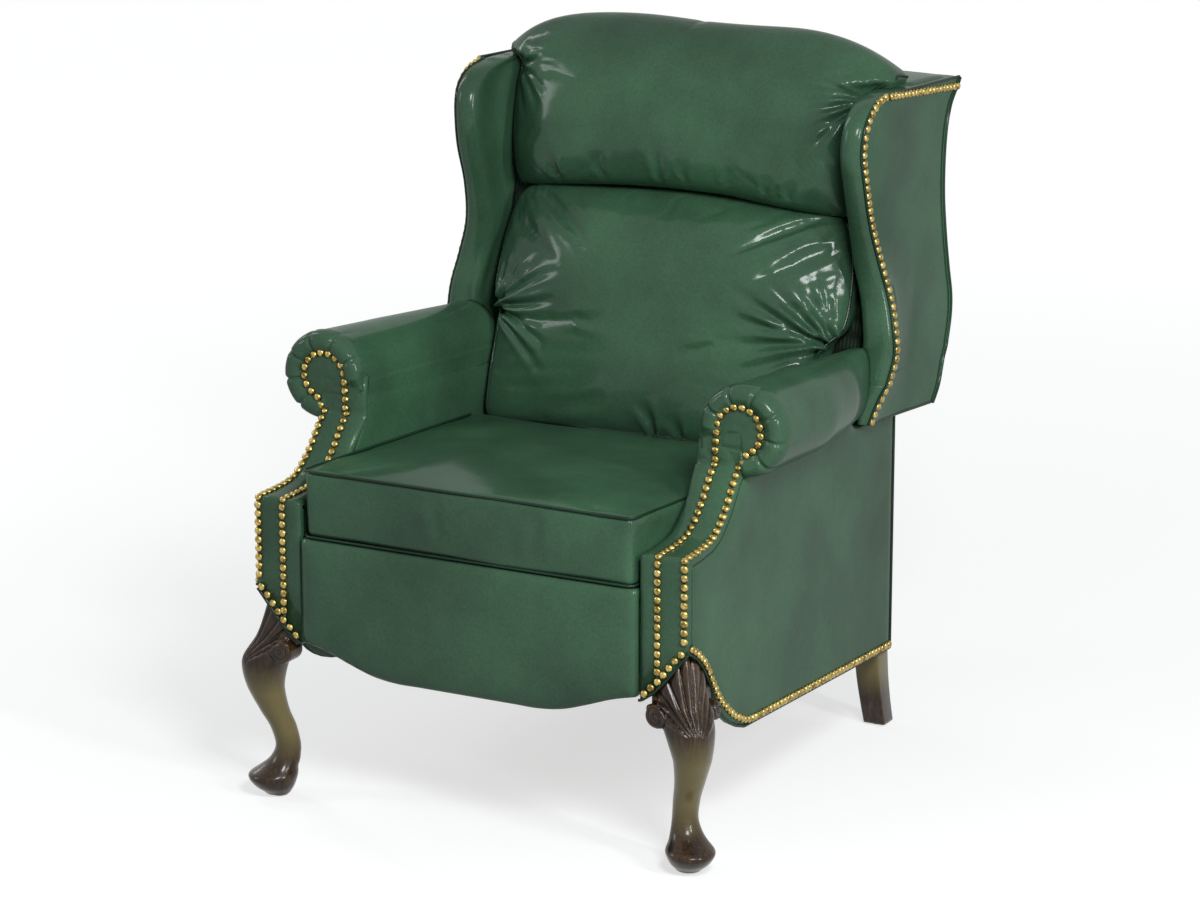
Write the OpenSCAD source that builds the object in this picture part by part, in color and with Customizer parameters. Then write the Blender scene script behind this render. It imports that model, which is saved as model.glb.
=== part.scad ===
// Wingback push-back recliner: fixed carved-leg base with rolled arms, seat and
// reclining winged back on a steel side mechanism, and a fold-out footrest.
// Front faces -Y, +Z is up, origin on the floor below the middle of the seat.

/* [Seat] */
// Width of the seat between the arms
seat_w = 540; // [500:5:600]
// Distance from the origin to the front face of the seat
seat_front = 401; // [390:1:405]
// Height of the welt along the top front edge of the seat
seat_h = 509; // [500:1:530]
// Height of the seat cushion's front boxing
boxing_h = 99; // [90:1:105]
// Crown of the seat cushion above its top welt
seat_crown = 16; // [4:1:24]

/* [Arms and base] */
// Running gap between the seat and each arm
side_gap = 3; // [2:0.5:6]
// Width of an arm at its front, from its inner to its outer face
arm_w = 77; // [70:1:90]
// Width that each arm loses from front to rear
arm_taper = 25; // [10:1:30]
// Distance from the origin to the front of the arms
arm_front = 398; // [390:1:405]
// Length of an arm from front to rear
arm_l = 731; // [725:1:735]
// Height of the arm panels, up to the underside of the roll
arm_h = 548; // [540:1:552]
// Thickness of a covered arm panel
panel_t = 10; // [8:0.5:12]
// Thickness of the padded facing on the arm front
facing_t = 12; // [8:0.5:14]
// Radius of the arm roll at the front scroll
roll_r = 67; // [60:1:70]

/* [Legs] */
// Distance from an arm's inner face to the centre of its front foot
foot_out = 71; // [66:1:74]
// Diameter of a front pad foot
pad_d = 62; // [50:1:66]
// Thickness of a rear leg at the floor
rear_leg_t = 36; // [30:1:40]

/* [Back] */
// Rake of the back from upright
rake = 12.7; // [10:0.1:14]
// Overall height of the chair
overall_h = 1078; // [1072:1:1090]
// Distance from an arm's inner face out to the outer face of its wing
wing_stand = 74; // [72:1:79]
// Thickness of the outside back panel
back_panel_t = 10; // [6:0.5:12]

/* [Motion] */
// Recline of the back
recline_deg = 30; // [10:1:30]
// Forward glide of the seat at full recline
glide = 32; // [10:1:34]
// Upward slope of the glide
glide_deg = 8; // [6:0.5:10]
// Thickness of the steel links and plates
plate_t = 3; // [2:0.25:3.5]
// Gap between neighbouring layers of links
layer_gap = 2; // [1.5:0.25:2.5]
// Radius of the pivot pins
pin_r = 3; // [2.5:0.1:3.5]
// Radial running clearance of a pivot pin
pin_fit = 0.06; // [0.02:0.01:0.1]

/* [Footrest] */
// Height of the footrest's top edge when closed
footrest_top = 406; // [400:1:407]
// Drop of the footrest panel from its top to the middle of its lower edge
footrest_h = 193; // [180:1:195]
// Thickness of the footrest board
board_t = 15; // [12:1:18]
// Thickness of the footrest padding
pad_t = 15; // [10:1:20]

/* [Trim] */
// Diameter of a nail head
nail_d = 11.6; // [9:0.1:12]
// Distance between nail centres along a row
nail_pitch = 12.6; // [12.1:0.1:15]

/* [Hidden] */

leather = "#3d5f4a";
leather_dark = "#2c4638";
walnut = "#4a2c1b";
beech = "#c49a6c";
steel = "#8d9296";
brass = "#b5893c";
nylon = "#e6e2d8";
platform_cloth = "#24382c";

$fn = 32;
over = 1;
soft_gap = 0.4;
arm_in = seat_w / 2 + side_gap;
arm_y0 = -arm_front;
arm_rear = arm_y0 + arm_l;

// Helpers: a side profile in (y, z) drawn across x, a bar between two pivots, and a pin along x
function spot(share, l, h, o) = [o[0] + share[0] * l, o[1] + share[1] * h];
function spots(shares, l, h, o) = [for (s = shares) spot(s, l, h, o)];
function unit(v) = v / norm(v);
function left_of(v) = [-v[1], v[0]];
function turn(a) = [cos(a), sin(a)];
// An open outline moved sideways by d, to the left of its direction
function beside(pts, d) = [for (i = [0 : len(pts) - 1])
    let (a = pts[max(i - 1, 0)], b = pts[i], c = pts[min(i + 1, len(pts) - 1)],
         u = a == b ? unit(c - b) : unit(b - a), w = c == b ? u : unit(c - b), m = unit(u + w))
    b + left_of(m) * d / (m * u)];
function backwards(pts) = [for (i = [len(pts) - 1 : -1 : 0]) pts[i]];
function run_of(pts, i = 0) = i >= len(pts) - 1 ? 0 : norm(pts[i + 1] - pts[i]) + run_of(pts, i + 1);
// The point at distance s along a path, with the path's direction there
function along(pts, s, i = 0) =
    let (d = norm(pts[i + 1] - pts[i]))
    s <= d || i >= len(pts) - 2 ? [pts[i] + (pts[i + 1] - pts[i]) * s / d, (pts[i + 1] - pts[i]) / d]
                                : along(pts, s - d, i + 1);
function steps(pts, pitch) = let (l = run_of(pts), n = round(l / pitch)) [for (k = [0 : n]) l * k / n];

module slab(x, t) { translate([x, 0, 0]) rotate([90, 0, 90]) linear_extrude(t) children(); }
module plan(z, t) { translate([0, 0, z]) linear_extrude(t) children(); }
module face_on(y, t) { translate([0, y + t, 0]) rotate([90, 0, 0]) linear_extrude(t) children(); }
module at_side(side) { mirror([side < 0 ? 1 : 0, 0, 0]) children(); }
module bar(a, b, ra, rb) {
    n = left_of(unit(b - a)) * min(ra, rb);
    translate(a) circle(ra);
    translate(b) circle(rb);
    polygon([a + n, b + n, b - n, a - n]);
}
module pin(x, l, r, p) { translate([x, p[0], p[1]]) rotate([0, 90, 0]) cylinder(h = l, r = r); }
module block(x0, x1, y0, y1, z0, z1) { translate([x0, y0, z0]) cube([x1 - x0, y1 - y0, z1 - z0]); }

// A closed skin: f(u, v, side) gives a point, with side 0 in front and side 1 behind
module skin(f, nu, nv) {
    m = (nu + 1) * (nv + 1);
    pts = [for (s = [0, 1]) for (j = [0 : nv]) for (i = [0 : nu]) f(i / nu, j / nv, s)];
    at = function(i, j, s) s * m + j * (nu + 1) + i;
    quad = function(a, b, c, d) [[a, b, c], [a, c, d]];
    polyhedron(pts, concat(
        [for (j = [0 : nv - 1]) for (i = [0 : nu - 1])
            each quad(at(i, j, 0), at(i, j + 1, 0), at(i + 1, j + 1, 0), at(i + 1, j, 0))],
        [for (j = [0 : nv - 1]) for (i = [0 : nu - 1])
            each quad(at(i, j, 1), at(i + 1, j, 1), at(i + 1, j + 1, 1), at(i, j + 1, 1))],
        [for (j = [0 : nv - 1]) each quad(at(0, j, 0), at(0, j, 1), at(0, j + 1, 1), at(0, j + 1, 0))],
        [for (j = [0 : nv - 1]) each quad(at(nu, j, 1), at(nu, j, 0), at(nu, j + 1, 0), at(nu, j + 1, 1))],
        [for (i = [0 : nu - 1]) each quad(at(i, 0, 1), at(i, 0, 0), at(i + 1, 0, 0), at(i + 1, 0, 1))],
        [for (i = [0 : nu - 1]) each quad(at(i, nv, 0), at(i, nv, 1), at(i + 1, nv, 1), at(i + 1, nv, 0))]));
}
// A solid through rings of points, each ring anticlockwise seen from the side that the rings run to
module loft(rings) {
    n = len(rings[0]);
    k = len(rings);
    polyhedron([for (r = rings) each r], concat(
        [[for (i = [0 : n - 1]) i]],
        [[for (i = [n - 1 : -1 : 0]) (k - 1) * n + i]],
        [for (r = [0 : k - 2]) for (i = [0 : n - 1]) let (a = r * n + i, b = r * n + (i + 1) % n)
            each [[a, a + n, b + n], [a, b + n, b]]]));
}

// Arm outline, as shares of the arm's length and height, from the front's foot over the shelf
arm_shares = [[0, 0.83], [0.0055, 0.839], [0.055, 0.841], [0.111, 0.849], [0.145, 0.869],
    [0.183, 0.912], [0.212, 0.96], [0.234, 0.992], [0.241, 1]];
arm_rear_shares = [[0.78, 1], [0.785, 0.94], [1, 0.918], [1, 0.232]];
cutout_shares = [[0.261, 0.301], [0.223, 0.318], [0.194, 0.337], [0.171, 0.358], [0.15, 0.383],
    [0.129, 0.427], [0.1, 0.483], [0.071, 0.534], [0.043, 0.568]];
peak_share = 0.602;
inner_foot_share = 0.456;
arm_o = [arm_y0, 0];
arm_line = spots(arm_shares, arm_l, arm_h, arm_o);
peak_z = peak_share * arm_h;
inner_foot_z = inner_foot_share * arm_h;
facing_raw = beside(concat([[arm_y0, inner_foot_z], [arm_y0, arm_line[2][1]]],
    [for (i = [2 : len(arm_line) - 1]) arm_line[i]]), -facing_t);
facing_end = [facing_raw[len(facing_raw) - 2], facing_raw[len(facing_raw) - 1]];
facing_back = concat([for (i = [0 : len(facing_raw) - 2]) facing_raw[i]],
    [facing_end[0] + (facing_end[1] - facing_end[0])
        * (arm_h - facing_end[0][1]) / (facing_end[1][1] - facing_end[0][1])]);
cutout_line = concat(spots([arm_rear_shares[3]], arm_l, arm_h, arm_o),
    spots(cutout_shares, arm_l, arm_h, arm_o), [[arm_y0, peak_z]]);
// The arm panels stop behind the facing
panel_outline = concat(
    [for (i = [1 : len(facing_back) - 1]) facing_back[i]],
    spots(arm_rear_shares, arm_l, arm_h, arm_o),
    [for (i = [1 : len(cutout_line) - 2]) cutout_line[i]],
    [[arm_y0 + facing_t, peak_z - facing_t * 0.75]]);
inner_low_share = 0.42;
inner_outline = concat(
    [for (p = facing_back) p],
    spots(arm_rear_shares, arm_l, arm_h, arm_o),
    spots([cutout_shares[0], [cutout_shares[3][0], inner_low_share]], arm_l, arm_h, arm_o));
function arm_out(y) = arm_in + arm_w - arm_taper * (y - arm_y0) / arm_l;
// Plan of the space between two offsets from the arm's outer face
module arm_plan(a, b) {
    polygon([[arm_out(arm_y0) - a, arm_y0], [arm_out(arm_y0) - b, arm_y0],
             [arm_out(arm_rear) - b, arm_rear], [arm_out(arm_rear) - a, arm_rear]]);
}

// Front legs: carved knee under the arm's corner, inward ankle, slipper foot turned out to the corner
foot_x = arm_in + foot_out;
foot_in = 23;
foot_y = arm_y0 + foot_in;
leg_points = 20;
// Each row, as shares: height of the peak, shift towards the corner and half width of the pad's diameter
leg_shares = [[0, -0.09, 0.31], [0.04, -0.05, 0.46], [0.092, -0.03, 0.565], [0.15, -0.2, 0.385],
    [0.225, -0.28, 0.3], [0.31, -0.2, 0.315], [0.39, -0.06, 0.35], [0.49, 0.07, 0.42], [0.58, 0.13, 0.5],
    [0.65, 0.1, 0.545], [0.74, -0.1, 0.55], [0.84, -0.2, 0.5], [0.92, -0.22, 0.4], [0.985, -0.2, 0.2]];
// The knee gets square and moves in under the arm's corner between these shares of the height
knee_square_shares = [[0.4, 1], [0.7, 0.7]];
knee_shares = [[0.5, 0], [0.74, 1]];
knee_in = 11;
function soft_turn(c, e) = sign(c) * pow(abs(c), e);
function leg_ring(row) =
    let (z = row[0] * peak_z, r = row[2] * pad_d, e = lookup(row[0], knee_square_shares),
         x = foot_x + row[1] * pad_d - knee_in * lookup(row[0], knee_shares), y = foot_y - row[1] * pad_d)
    [for (i = [0 : leg_points - 1]) let (a = (i + 0.5) * 360 / leg_points)
        [x + r * soft_turn(cos(a), e), y + r * soft_turn(sin(a), e), z]];
glide_h = 3;
module front_leg(side) {
    color(walnut) at_side(side) {
        translate([0, 0, glide_h]) loft([for (row = leg_shares) leg_ring(row)]);
    }
}

// Rear legs: plain square legs raked backwards
rear_leg_in = 30;
rear_leg_back = 12;
rear_leg_x = arm_in + rear_leg_in;
rear_leg_y = arm_rear + rear_leg_back;
tenon_l = 40;
tenon_h = 63;
shoulder_z = arm_rear_shares[3][1] * arm_h - soft_gap;
rear_leg_top = shoulder_z + soft_gap + tenon_h;
// Share of the height, set back from the foot as a share of the rake, and share of the thickness
rear_leg_splay = 32;
rear_leg_rows = [[0, 0, 1], [0.3, 0.4, 1.03], [0.65, 0.78, 1.08], [1, 1, 1.12]];
module rear_leg(side) {
    color(walnut) at_side(side) {
        translate([rear_leg_x, rear_leg_y, glide_h])
            loft([for (row = rear_leg_rows) let (h = rear_leg_t / 2 * row[2])
                [for (c = [[-1, -1], [1, -1], [1, 1], [-1, 1]])
                    [c[0] * h, c[1] * h - row[1] * rear_leg_splay, row[0] * (shoulder_z - glide_h)]]]);
        block(arm_in + panel_t + soft_gap, arm_out(arm_rear) - panel_t - soft_gap,
              arm_rear - tenon_l, arm_rear, shoulder_z - over, rear_leg_top);
    }
}
glide_r = 11;
glide_in = 8;
module floor_glides() {
    color(nylon) for (s = [-1, 1]) {
        translate([s * (foot_x - glide_in), foot_y + glide_in, 0]) cylinder(h = glide_h, r = glide_r);
        translate([s * rear_leg_x, rear_leg_y, 0]) cylinder(h = glide_h, r = glide_r);
    }
}

front_leg(1);  // front_leg_left
front_leg(-1);  // front_leg_right
rear_leg(1);  // rear_leg_left
rear_leg(-1);  // rear_leg_right
floor_glides();

// Arms: a glued hardwood frame between two covered panels, a padded facing in front and a roll on top
frame_x = arm_in + panel_t;
rail_w = 40;
post_y = arm_y0 + facing_t;
upright_share = 0.268;
upright_y = arm_y0 + upright_share * arm_l;
shelf_z = arm_shares[2][1] * arm_h - facing_t - over;
mid_rail_share = 0.612;
mid_z = mid_rail_share * arm_h;
low_rail_share = 0.34;
low_z = low_rail_share * arm_h;
rear_top_z = arm_rear_shares[2][1] * arm_h;
rear_foot_z = arm_rear_shares[3][1] * arm_h;
roll_end_share = arm_rear_shares[0][0];
roll_end = arm_y0 + roll_end_share * arm_l;
module arm_frame(side) {
    x1 = arm_in + arm_w;
    color(beech) at_side(side) difference() {
        intersection() {
            plan(0, arm_h) arm_plan(arm_w - panel_t, panel_t);
            union() {
                block(frame_x, x1, post_y, post_y + rail_w, peak_z, shelf_z);
                block(frame_x, x1, post_y + rail_w, upright_y, mid_z, mid_z + rail_w);
                block(frame_x, x1, upright_y, upright_y + rail_w, low_z, arm_h);
                block(frame_x, x1, upright_y + rail_w, roll_end, arm_h - rail_w, arm_h);
                block(frame_x, x1, upright_y + rail_w, arm_rear - rail_w, low_z, low_z + rail_w);
                block(frame_x, x1, upright_y + rail_w, arm_rear - rail_w, mid_z, mid_z + rail_w);
                block(frame_x, x1, arm_rear - rail_w, arm_rear, rear_leg_top, rear_top_z);
            }
        }
        track_holes(bolt_r + bolt_fit);
    }
}
module arm_outer_panel(side) {
    color(leather) at_side(side) intersection() {
        plan(0, arm_h) arm_plan(panel_t, 0);
        slab(arm_in, arm_w) polygon(panel_outline);
    }
}
module arm_inner_panel(side) {
    color(leather) at_side(side) difference() {
        slab(arm_in, panel_t) polygon(inner_outline);
        track_holes(bolt_r + bolt_fit);
    }
}
// The facing's lower end is cut on the slant from the outer corner down to the seat side
module arm_facing(side) {
    cut = [arm_w, peak_z - inner_foot_z];
    color(leather) at_side(side) difference() {
        slab(arm_in, arm_w) polygon(concat([[arm_y0, inner_foot_z - facing_t]], arm_line,
            [for (i = [len(facing_back) - 1 : -1 : 1]) facing_back[i]],
            [[arm_y0 + facing_t, inner_foot_z - facing_t]]));
        face_on(arm_y0 - over, arm_l) polygon([[arm_in, inner_foot_z] - cut, [arm_in, inner_foot_z] + 2 * cut,
            [arm_in + 2 * arm_w, inner_foot_z - cut[1]]]);
        plan(0, arm_h + over) arm_plan(0, -arm_w);
    }
}
// Arm roll: a round padded roll, full at the scroll and slimmer towards the wing
roll_in = 69;
roll_up = 52;
roll_slim = 9;
roll_shift = 7;
roll_drop = 28;
roll_x = arm_in + roll_in;
roll_z = arm_h + roll_up;
roll_y0 = arm_line[len(arm_line) - 1][0];
roll_rear_r = roll_r - roll_slim;
roll_rear_x = roll_x - roll_shift;
roll_rear_z = roll_z - roll_drop;
roll_lean_share = 0.24;
// Share of the length from the face, and share of the radius there
roll_rows = [[0, 0.86], [0.008, 0.945], [0.03, 0.985], [0.07, 1], [0.3, 1], [0.55, 1], [0.8, 1], [1, 1]];
// Towards the wing the roll's outer side is tucked in and its underside drawn up
roll_tuck_shares = [[0.5, 1], [1, 0.3]];
roll_draw_shares = [[0.5, 1], [1, 0.8]];
function roll_ring(row) =
    let (t = row[0], r = row[1] * (roll_r + (roll_rear_r - roll_r) * t),
         cx = roll_x + (roll_rear_x - roll_x) * t, cz = roll_z + (roll_rear_z - roll_z) * t,
         y = roll_y0 + t * (roll_end - roll_y0), edge = arm_out(y - roll_r / 3) + soft_gap,
         tuck = lookup(t, roll_tuck_shares), draw = lookup(t, roll_draw_shares),
         arc = [for (k = [0 : 22]) let (a = 190 - k * 12)
             [cx + r * cos(a) * (cos(a) > 0 ? tuck : 1), cz + r * sin(a) * (sin(a) < 0 ? draw : 1)]],
         low = cz - r * draw * sin(acos(max(-1, min(1, (edge - cx) / (r * (edge > cx ? tuck : 1)))))),
         ring = concat([[cx + r * cos(190), arm_h]], [for (p = arc) if (p[1] > arm_h || p[0] > edge) p],
                       [[edge, low], [edge, arm_h]]))
    [for (p = ring) [p[0], y - t * t * roll_lean_share * (roll_rear_z - p[1]), p[1]]];
module arm_roll(side) {
    color(leather) at_side(side) loft([for (row = roll_rows) roll_ring(row)]);
}

// Rear panel, cross rails and corner blocks tie the two arms together
rear_panel_t = 20;
rear_panel_low = 53;
rear_panel_top = arm_h - rear_panel_low;
front_rail_back = 258;
front_rail_y = arm_y0 + front_rail_back;
front_rail_share = 0.374;
front_rail_z = front_rail_share * arm_h;
rear_cover_t = 4;
module rear_panel() {
    x = arm_out(arm_rear);
    color(leather_dark) {
        block(-arm_in, arm_in, arm_rear - rear_panel_t, arm_rear, rear_foot_z, rear_panel_top);
        block(-x, x, arm_rear, arm_rear + rear_cover_t, rear_foot_z, rear_panel_top);
    }
}
module cross_rails() {
    color(beech) {
        block(-arm_in, arm_in, front_rail_y, front_rail_y + rail_w, front_rail_z, front_rail_z + rail_w);
        block(-arm_in, arm_in, arm_rear - rear_panel_t - rail_w / 2, arm_rear - rear_panel_t,
              low_z, low_z + rail_w);
    }
}
brace = 46;
module corner_blocks() {
    color(beech) for (s = [1, -1]) at_side(s) {
        plan(front_rail_z, rail_w) polygon([[arm_in, front_rail_y + rail_w],
            [arm_in - brace, front_rail_y + rail_w], [arm_in, front_rail_y + rail_w + brace]]);
        plan(low_z, rail_w) let (y = arm_rear - rear_panel_t - rail_w / 2)
            polygon([[arm_in, y], [arm_in, y - brace], [arm_in - brace, y]]);
    }
}

// Mechanism tracks: slotted steel plates on the arms, in which the seat's rollers run
function slope() = [-cos(glide_deg), sin(glide_deg)];
bolt_r = 4;
bolt_fit = 0.2;
bolt_head_r = 8;
bolt_head_h = 2.5;
bolt_l = 34;
roller_r = 7;
roller_fit = 0.3;
track_o = [-281, 330];
track_l = 466;
track_h = 44;
// Places of the rollers, the bolts and the corners, as shares of the track's length and height
roller_shares = [[0.1416, 0.409], [0.8391, 0.409]];
bolt_shares = [[0.0322, 0.5], [0.4743, 0.5], [0.7232, 0.5], [0.9571, 0.5]];
corner_shares = [[0, 0], [0, 1], [1, 1], [1, 0]];
roller_spots = spots(roller_shares, track_l, track_h, track_o);
bolt_spots = spots(bolt_shares, track_l, track_h, track_o);
track_outline = spots(corner_shares, track_l, track_h, track_o);
module track_holes(r) { for (p = bolt_spots) pin(arm_in - over, bolt_l + 2 * over, r, p); }
module base_track(side) {
    color(steel) at_side(side) difference() {
        slab(arm_in - plate_t, plate_t) polygon(track_outline);
        for (p = roller_spots) slab(arm_in - plate_t - over, plate_t + 2 * over)
            bar(p - slope() * roller_fit, p + slope() * (glide + roller_fit),
                roller_r + roller_fit, roller_r + roller_fit);
        for (p = bolt_spots) pin(arm_in - plate_t - over, plate_t + 2 * over, bolt_r + bolt_fit, p);
    }
}
module track_bolts() {
    color(steel) for (s = [1, -1]) at_side(s) for (p = bolt_spots) {
        pin(arm_in - plate_t - bolt_head_h, bolt_head_h, bolt_head_r, p);
        pin(arm_in - plate_t, plate_t + bolt_l, bolt_r, p);
    }
}

// Nail heads pressed into the leather along the facings and the lower edges
nail_h = 2.4;
bite = 0.5;
nail_edge = 8;
module nail_at(p, n) {
    translate(p - n * bite) multmatrix(frame_to(n)) cylinder(h = nail_h, r1 = nail_d / 2, r2 = nail_d / 2);
}
// A rotation that takes +Z to n
function frame_to(n) =
    let (h = abs(n[2]) > 0.9 ? [1, 0, 0] : [0, 0, 1], x = unit(cross(h, n)), y = cross(n, x))
    [[x[0], y[0], n[0], 0], [x[1], y[1], n[1], 0], [x[2], y[2], n[2], 0], [0, 0, 0, 1]];
row_outer_in = 6;
row_inner_in = 30;
row_outer_x = arm_in + arm_w - row_outer_in;
row_inner_x = arm_in + row_inner_in;
scroll_nail_r = 34;
scroll_nail_in = 4;
scroll_nail_up = 1;
scroll_nail_x = roll_x - scroll_nail_in;
scroll_nail_z = roll_z + scroll_nail_up;
// The slanted row of nails above the facing's lower end
function foot_line(x) = inner_foot_z + (x - arm_in) / arm_w * (peak_z - inner_foot_z) + nail_edge * 1.5;
module face_row(x, z0) {
    path = concat([[arm_y0, z0]], [for (i = [0 : len(arm_line) - 2]) arm_line[i]]);
    for (s = steps(path, nail_pitch))
        let (q = along(path, s), n = left_of(q[1]), in = x > row_inner_x ? arm_out(arm_y0) - arm_out(q[0][0]) : 0)
            nail_at([x - in, q[0][0], q[0][1]], [0, n[0], n[1]]);
}
module nails_arm(side) {
    color(brass) at_side(side) {
        face_row(row_outer_x, peak_z + nail_edge);
        face_row(row_inner_x, foot_line(row_inner_x) + nail_pitch);
        let (path = concat([[row_outer_x, arm_h + nail_pitch]],
                 [for (a = [-80 : 20 : 180]) [scroll_nail_x, scroll_nail_z] + turn(a) * scroll_nail_r],
                 [[row_inner_x, arm_h + nail_pitch]]))
            for (s = steps(path, nail_pitch)) let (q = along(path, s))
                nail_at([q[0][0], roll_y0, q[0][1]], [0, -1, 0]);
        let (path = [for (x = [row_outer_x - nail_pitch * 0.72, arm_in + nail_edge]) [x, foot_line(x)]])
            for (s = steps(path, nail_pitch)) let (q = along(path, s))
                nail_at([q[0][0], arm_y0, q[0][1]], [0, -1, 0]);
    }
}
side_line = beside(cutout_line, -nail_edge);
module nails_side(side) {
    path = [for (i = [0 : len(side_line) - 2]) side_line[i]];
    n = unit([arm_l, arm_taper, 0]);
    color(brass) at_side(side) for (s = steps(path, nail_pitch)) let (q = along(path, s))
        if (s > nail_pitch / 2) nail_at([arm_out(q[0][0]), q[0][0], q[0][1]], n);
}

arm_frame(1);  // arm_frame_left
arm_frame(-1);  // arm_frame_right
arm_outer_panel(1);  // arm_outer_panel_left
arm_outer_panel(-1);  // arm_outer_panel_right
arm_inner_panel(1);  // arm_inner_panel_left
arm_inner_panel(-1);  // arm_inner_panel_right
arm_facing(1);  // arm_facing_left
arm_facing(-1);  // arm_facing_right
arm_roll(1);  // arm_roll_left
arm_roll(-1);  // arm_roll_right
rear_panel();
cross_rails();
corner_blocks();
base_track(1);  // base_track_left
base_track(-1);  // base_track_right
track_bolts();
nails_arm(1);  // nails_arm_left
nails_arm(-1);  // nails_arm_right
nails_side(1);  // nails_side_left
nails_side(-1);  // nails_side_right

// Mechanism pivots in (y, z), closed, and the angles of the links from straight ahead
focal_p = [-335, 328];
focal_l = 185;
focal_a0 = -140;
focal_turn = 125;
ottoman_l = 207.8;
ottoman_a0 = 42.7;
control_p = [-354.5, 365];
control_l = 193.4;
control_a0 = -139.83;
tail_along = 30;
tail_up = 14.9;
drive_along = 170;
drive_l = 177.9;
drive_a0 = 40.98;
board_pin = [13, 24.7];
back_p = [190, 400];
// Angles are measured from the forward direction, upwards
function ahead(a) = [-cos(a), sin(a)];
knee_p = focal_p + focal_l * ahead(focal_a0);
footrest_p = knee_p + ottoman_l * ahead(ottoman_a0);
tail_p = knee_p + tail_along * ahead(ottoman_a0) + tail_up * ahead(ottoman_a0 + 90);
control_end = control_p + control_l * ahead(control_a0);
drive_p = control_p + drive_along * ahead(control_a0);
drive_end = drive_p + drive_l * ahead(drive_a0);
board_p = footrest_p + [-board_pin[0], board_pin[1]];
link_r = 7.4;
pin_hole = pin_r + pin_fit;
open_pin_r = 2.5;
tail_slack = 2.4;
board_slack = 3.3;
link_wall = 3;
layer = plate_t + layer_gap;
roller_room = 8;
plate_x = arm_in - plate_t - roller_room;
focal_x = plate_x - layer;
control_x = focal_x - layer;
ottoman_x = control_x - layer;
footrest_x = ottoman_x - layer;
drive_x = footrest_x - layer;
bracket_x = focal_x;

// Seat plates carry the frame, the footrest links and the back's pivots, and glide on rollers
plate_o = [-368, 314];
plate_l = 574;
plate_h = 102;
// The plate's corners, as shares of its length and height
plate_shares = [[0, 0.6863], [0, 0.3725], [0.0314, 0.0196], [0.0836, 0], [0.1359, 0.1765],
    [0.9024, 0.1765], [1, 0.7255], [1, 0.902], [0.9826, 1], [0.9477, 0.9804], [0.885, 0.8627], [0.0314, 0.8627]];
plate_outline = spots(plate_shares, plate_l, plate_h, plate_o);
module seat_plate(side) {
    color(steel) at_side(side) {
        difference() {
            slab(plate_x, plate_t) polygon(plate_outline);
            for (p = roller_spots) pin(plate_x - over, plate_t + 2 * over, axle_r, p);
        }
        pin(focal_x - over, plate_x - focal_x + over, pin_r, focal_p);
        pin(control_x - over, plate_x - control_x + over, pin_r, control_p);
        pin(bracket_x - over, plate_x - bracket_x + over, back_pin_r, back_p);
    }
}
axle_r = 4;
back_pin_r = 6;
module glide_rollers() {
    color(nylon) for (s = [1, -1]) at_side(s) for (p = roller_spots) {
        pin(plate_x, plate_t, axle_r, p);
        pin(plate_x + plate_t, arm_in - over - plate_x - plate_t, roller_r, p);
    }
}
frame_z0 = 384;
frame_h = 20;
frame_y0 = -372;
frame_y1 = 100;
frame_half = plate_x;
module seat_frame() {
    color(beech) difference() {
        block(-frame_half, frame_half, frame_y0, frame_y1, frame_z0, frame_z0 + frame_h);
        block(-frame_half + rail_w, frame_half - rail_w, frame_y0 + rail_w, frame_y1 - rail_w,
              frame_z0 - over, frame_z0 + frame_h + over);
    }
}
// Zigzag springs, drawn as one bent wire each
wire = 4;
spring_n = 5;
spring_w = 50;
spring_bends = 12;
module zigzag(l, w, t) {
    path = concat([[0, 0]],
        [for (i = [1 : spring_bends - 1]) [i * l / spring_bends, (i % 2 == 0 ? -w : w) / 2]], [[l, 0]]);
    up = beside(path, t / 2);
    down = beside(path, -t / 2);
    intersection() {
        polygon(concat(up, backwards(down)));
        translate([0, -w]) square([l, 2 * w]);
    }
}
module seat_springs() {
    l = frame_y1 - frame_y0 - 2 * rail_w;
    pitch = 2 * (frame_half - rail_w) / spring_n;
    color(steel) for (i = [0 : spring_n - 1])
        translate([(i - (spring_n - 1) / 2) * pitch, frame_y0 + rail_w, frame_z0 + frame_h - wire])
            rotate(90) linear_extrude(wire) zigzag(l, spring_w, wire);
}
deck_h = 6;
deck_in = 4;
cushion_y1 = frame_y1;
module seat_deck() {
    color(platform_cloth) block(-frame_half, frame_half, -seat_front + deck_in, frame_y1,
                        frame_z0 + frame_h, frame_z0 + frame_h + deck_h);
}
seat_z0 = seat_h - boxing_h;
seat_fall = 31;
seat_draw = 3;
corner_soft = 8;
module seat_cushion() {
    edge = function(s) 1 - pow(abs(s), 6);
    color(leather) skin(function(u, v, side)
        let (s = 2 * u - 1, d = 2 * v - 1,
             drawn = seat_draw * edge(d) * (side == 0 ? 1 : 0.6),
             half = seat_w / 2 - drawn - corner_soft * pow(1 - v, 24) * pow(abs(s), 8),
             crown = seat_crown * (1 - pow(abs(s), 4)) * edge(d))
        [s * half, -seat_front + v * (cushion_y1 + seat_front),
         side == 0 ? seat_h - seat_fall * v + crown : seat_z0], 20, 20);
}

seat_plate(1);  // seat_plate_left
seat_plate(-1);  // seat_plate_right
seat_frame();
seat_springs();
seat_deck();
seat_cushion();
glide_rollers();

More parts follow.
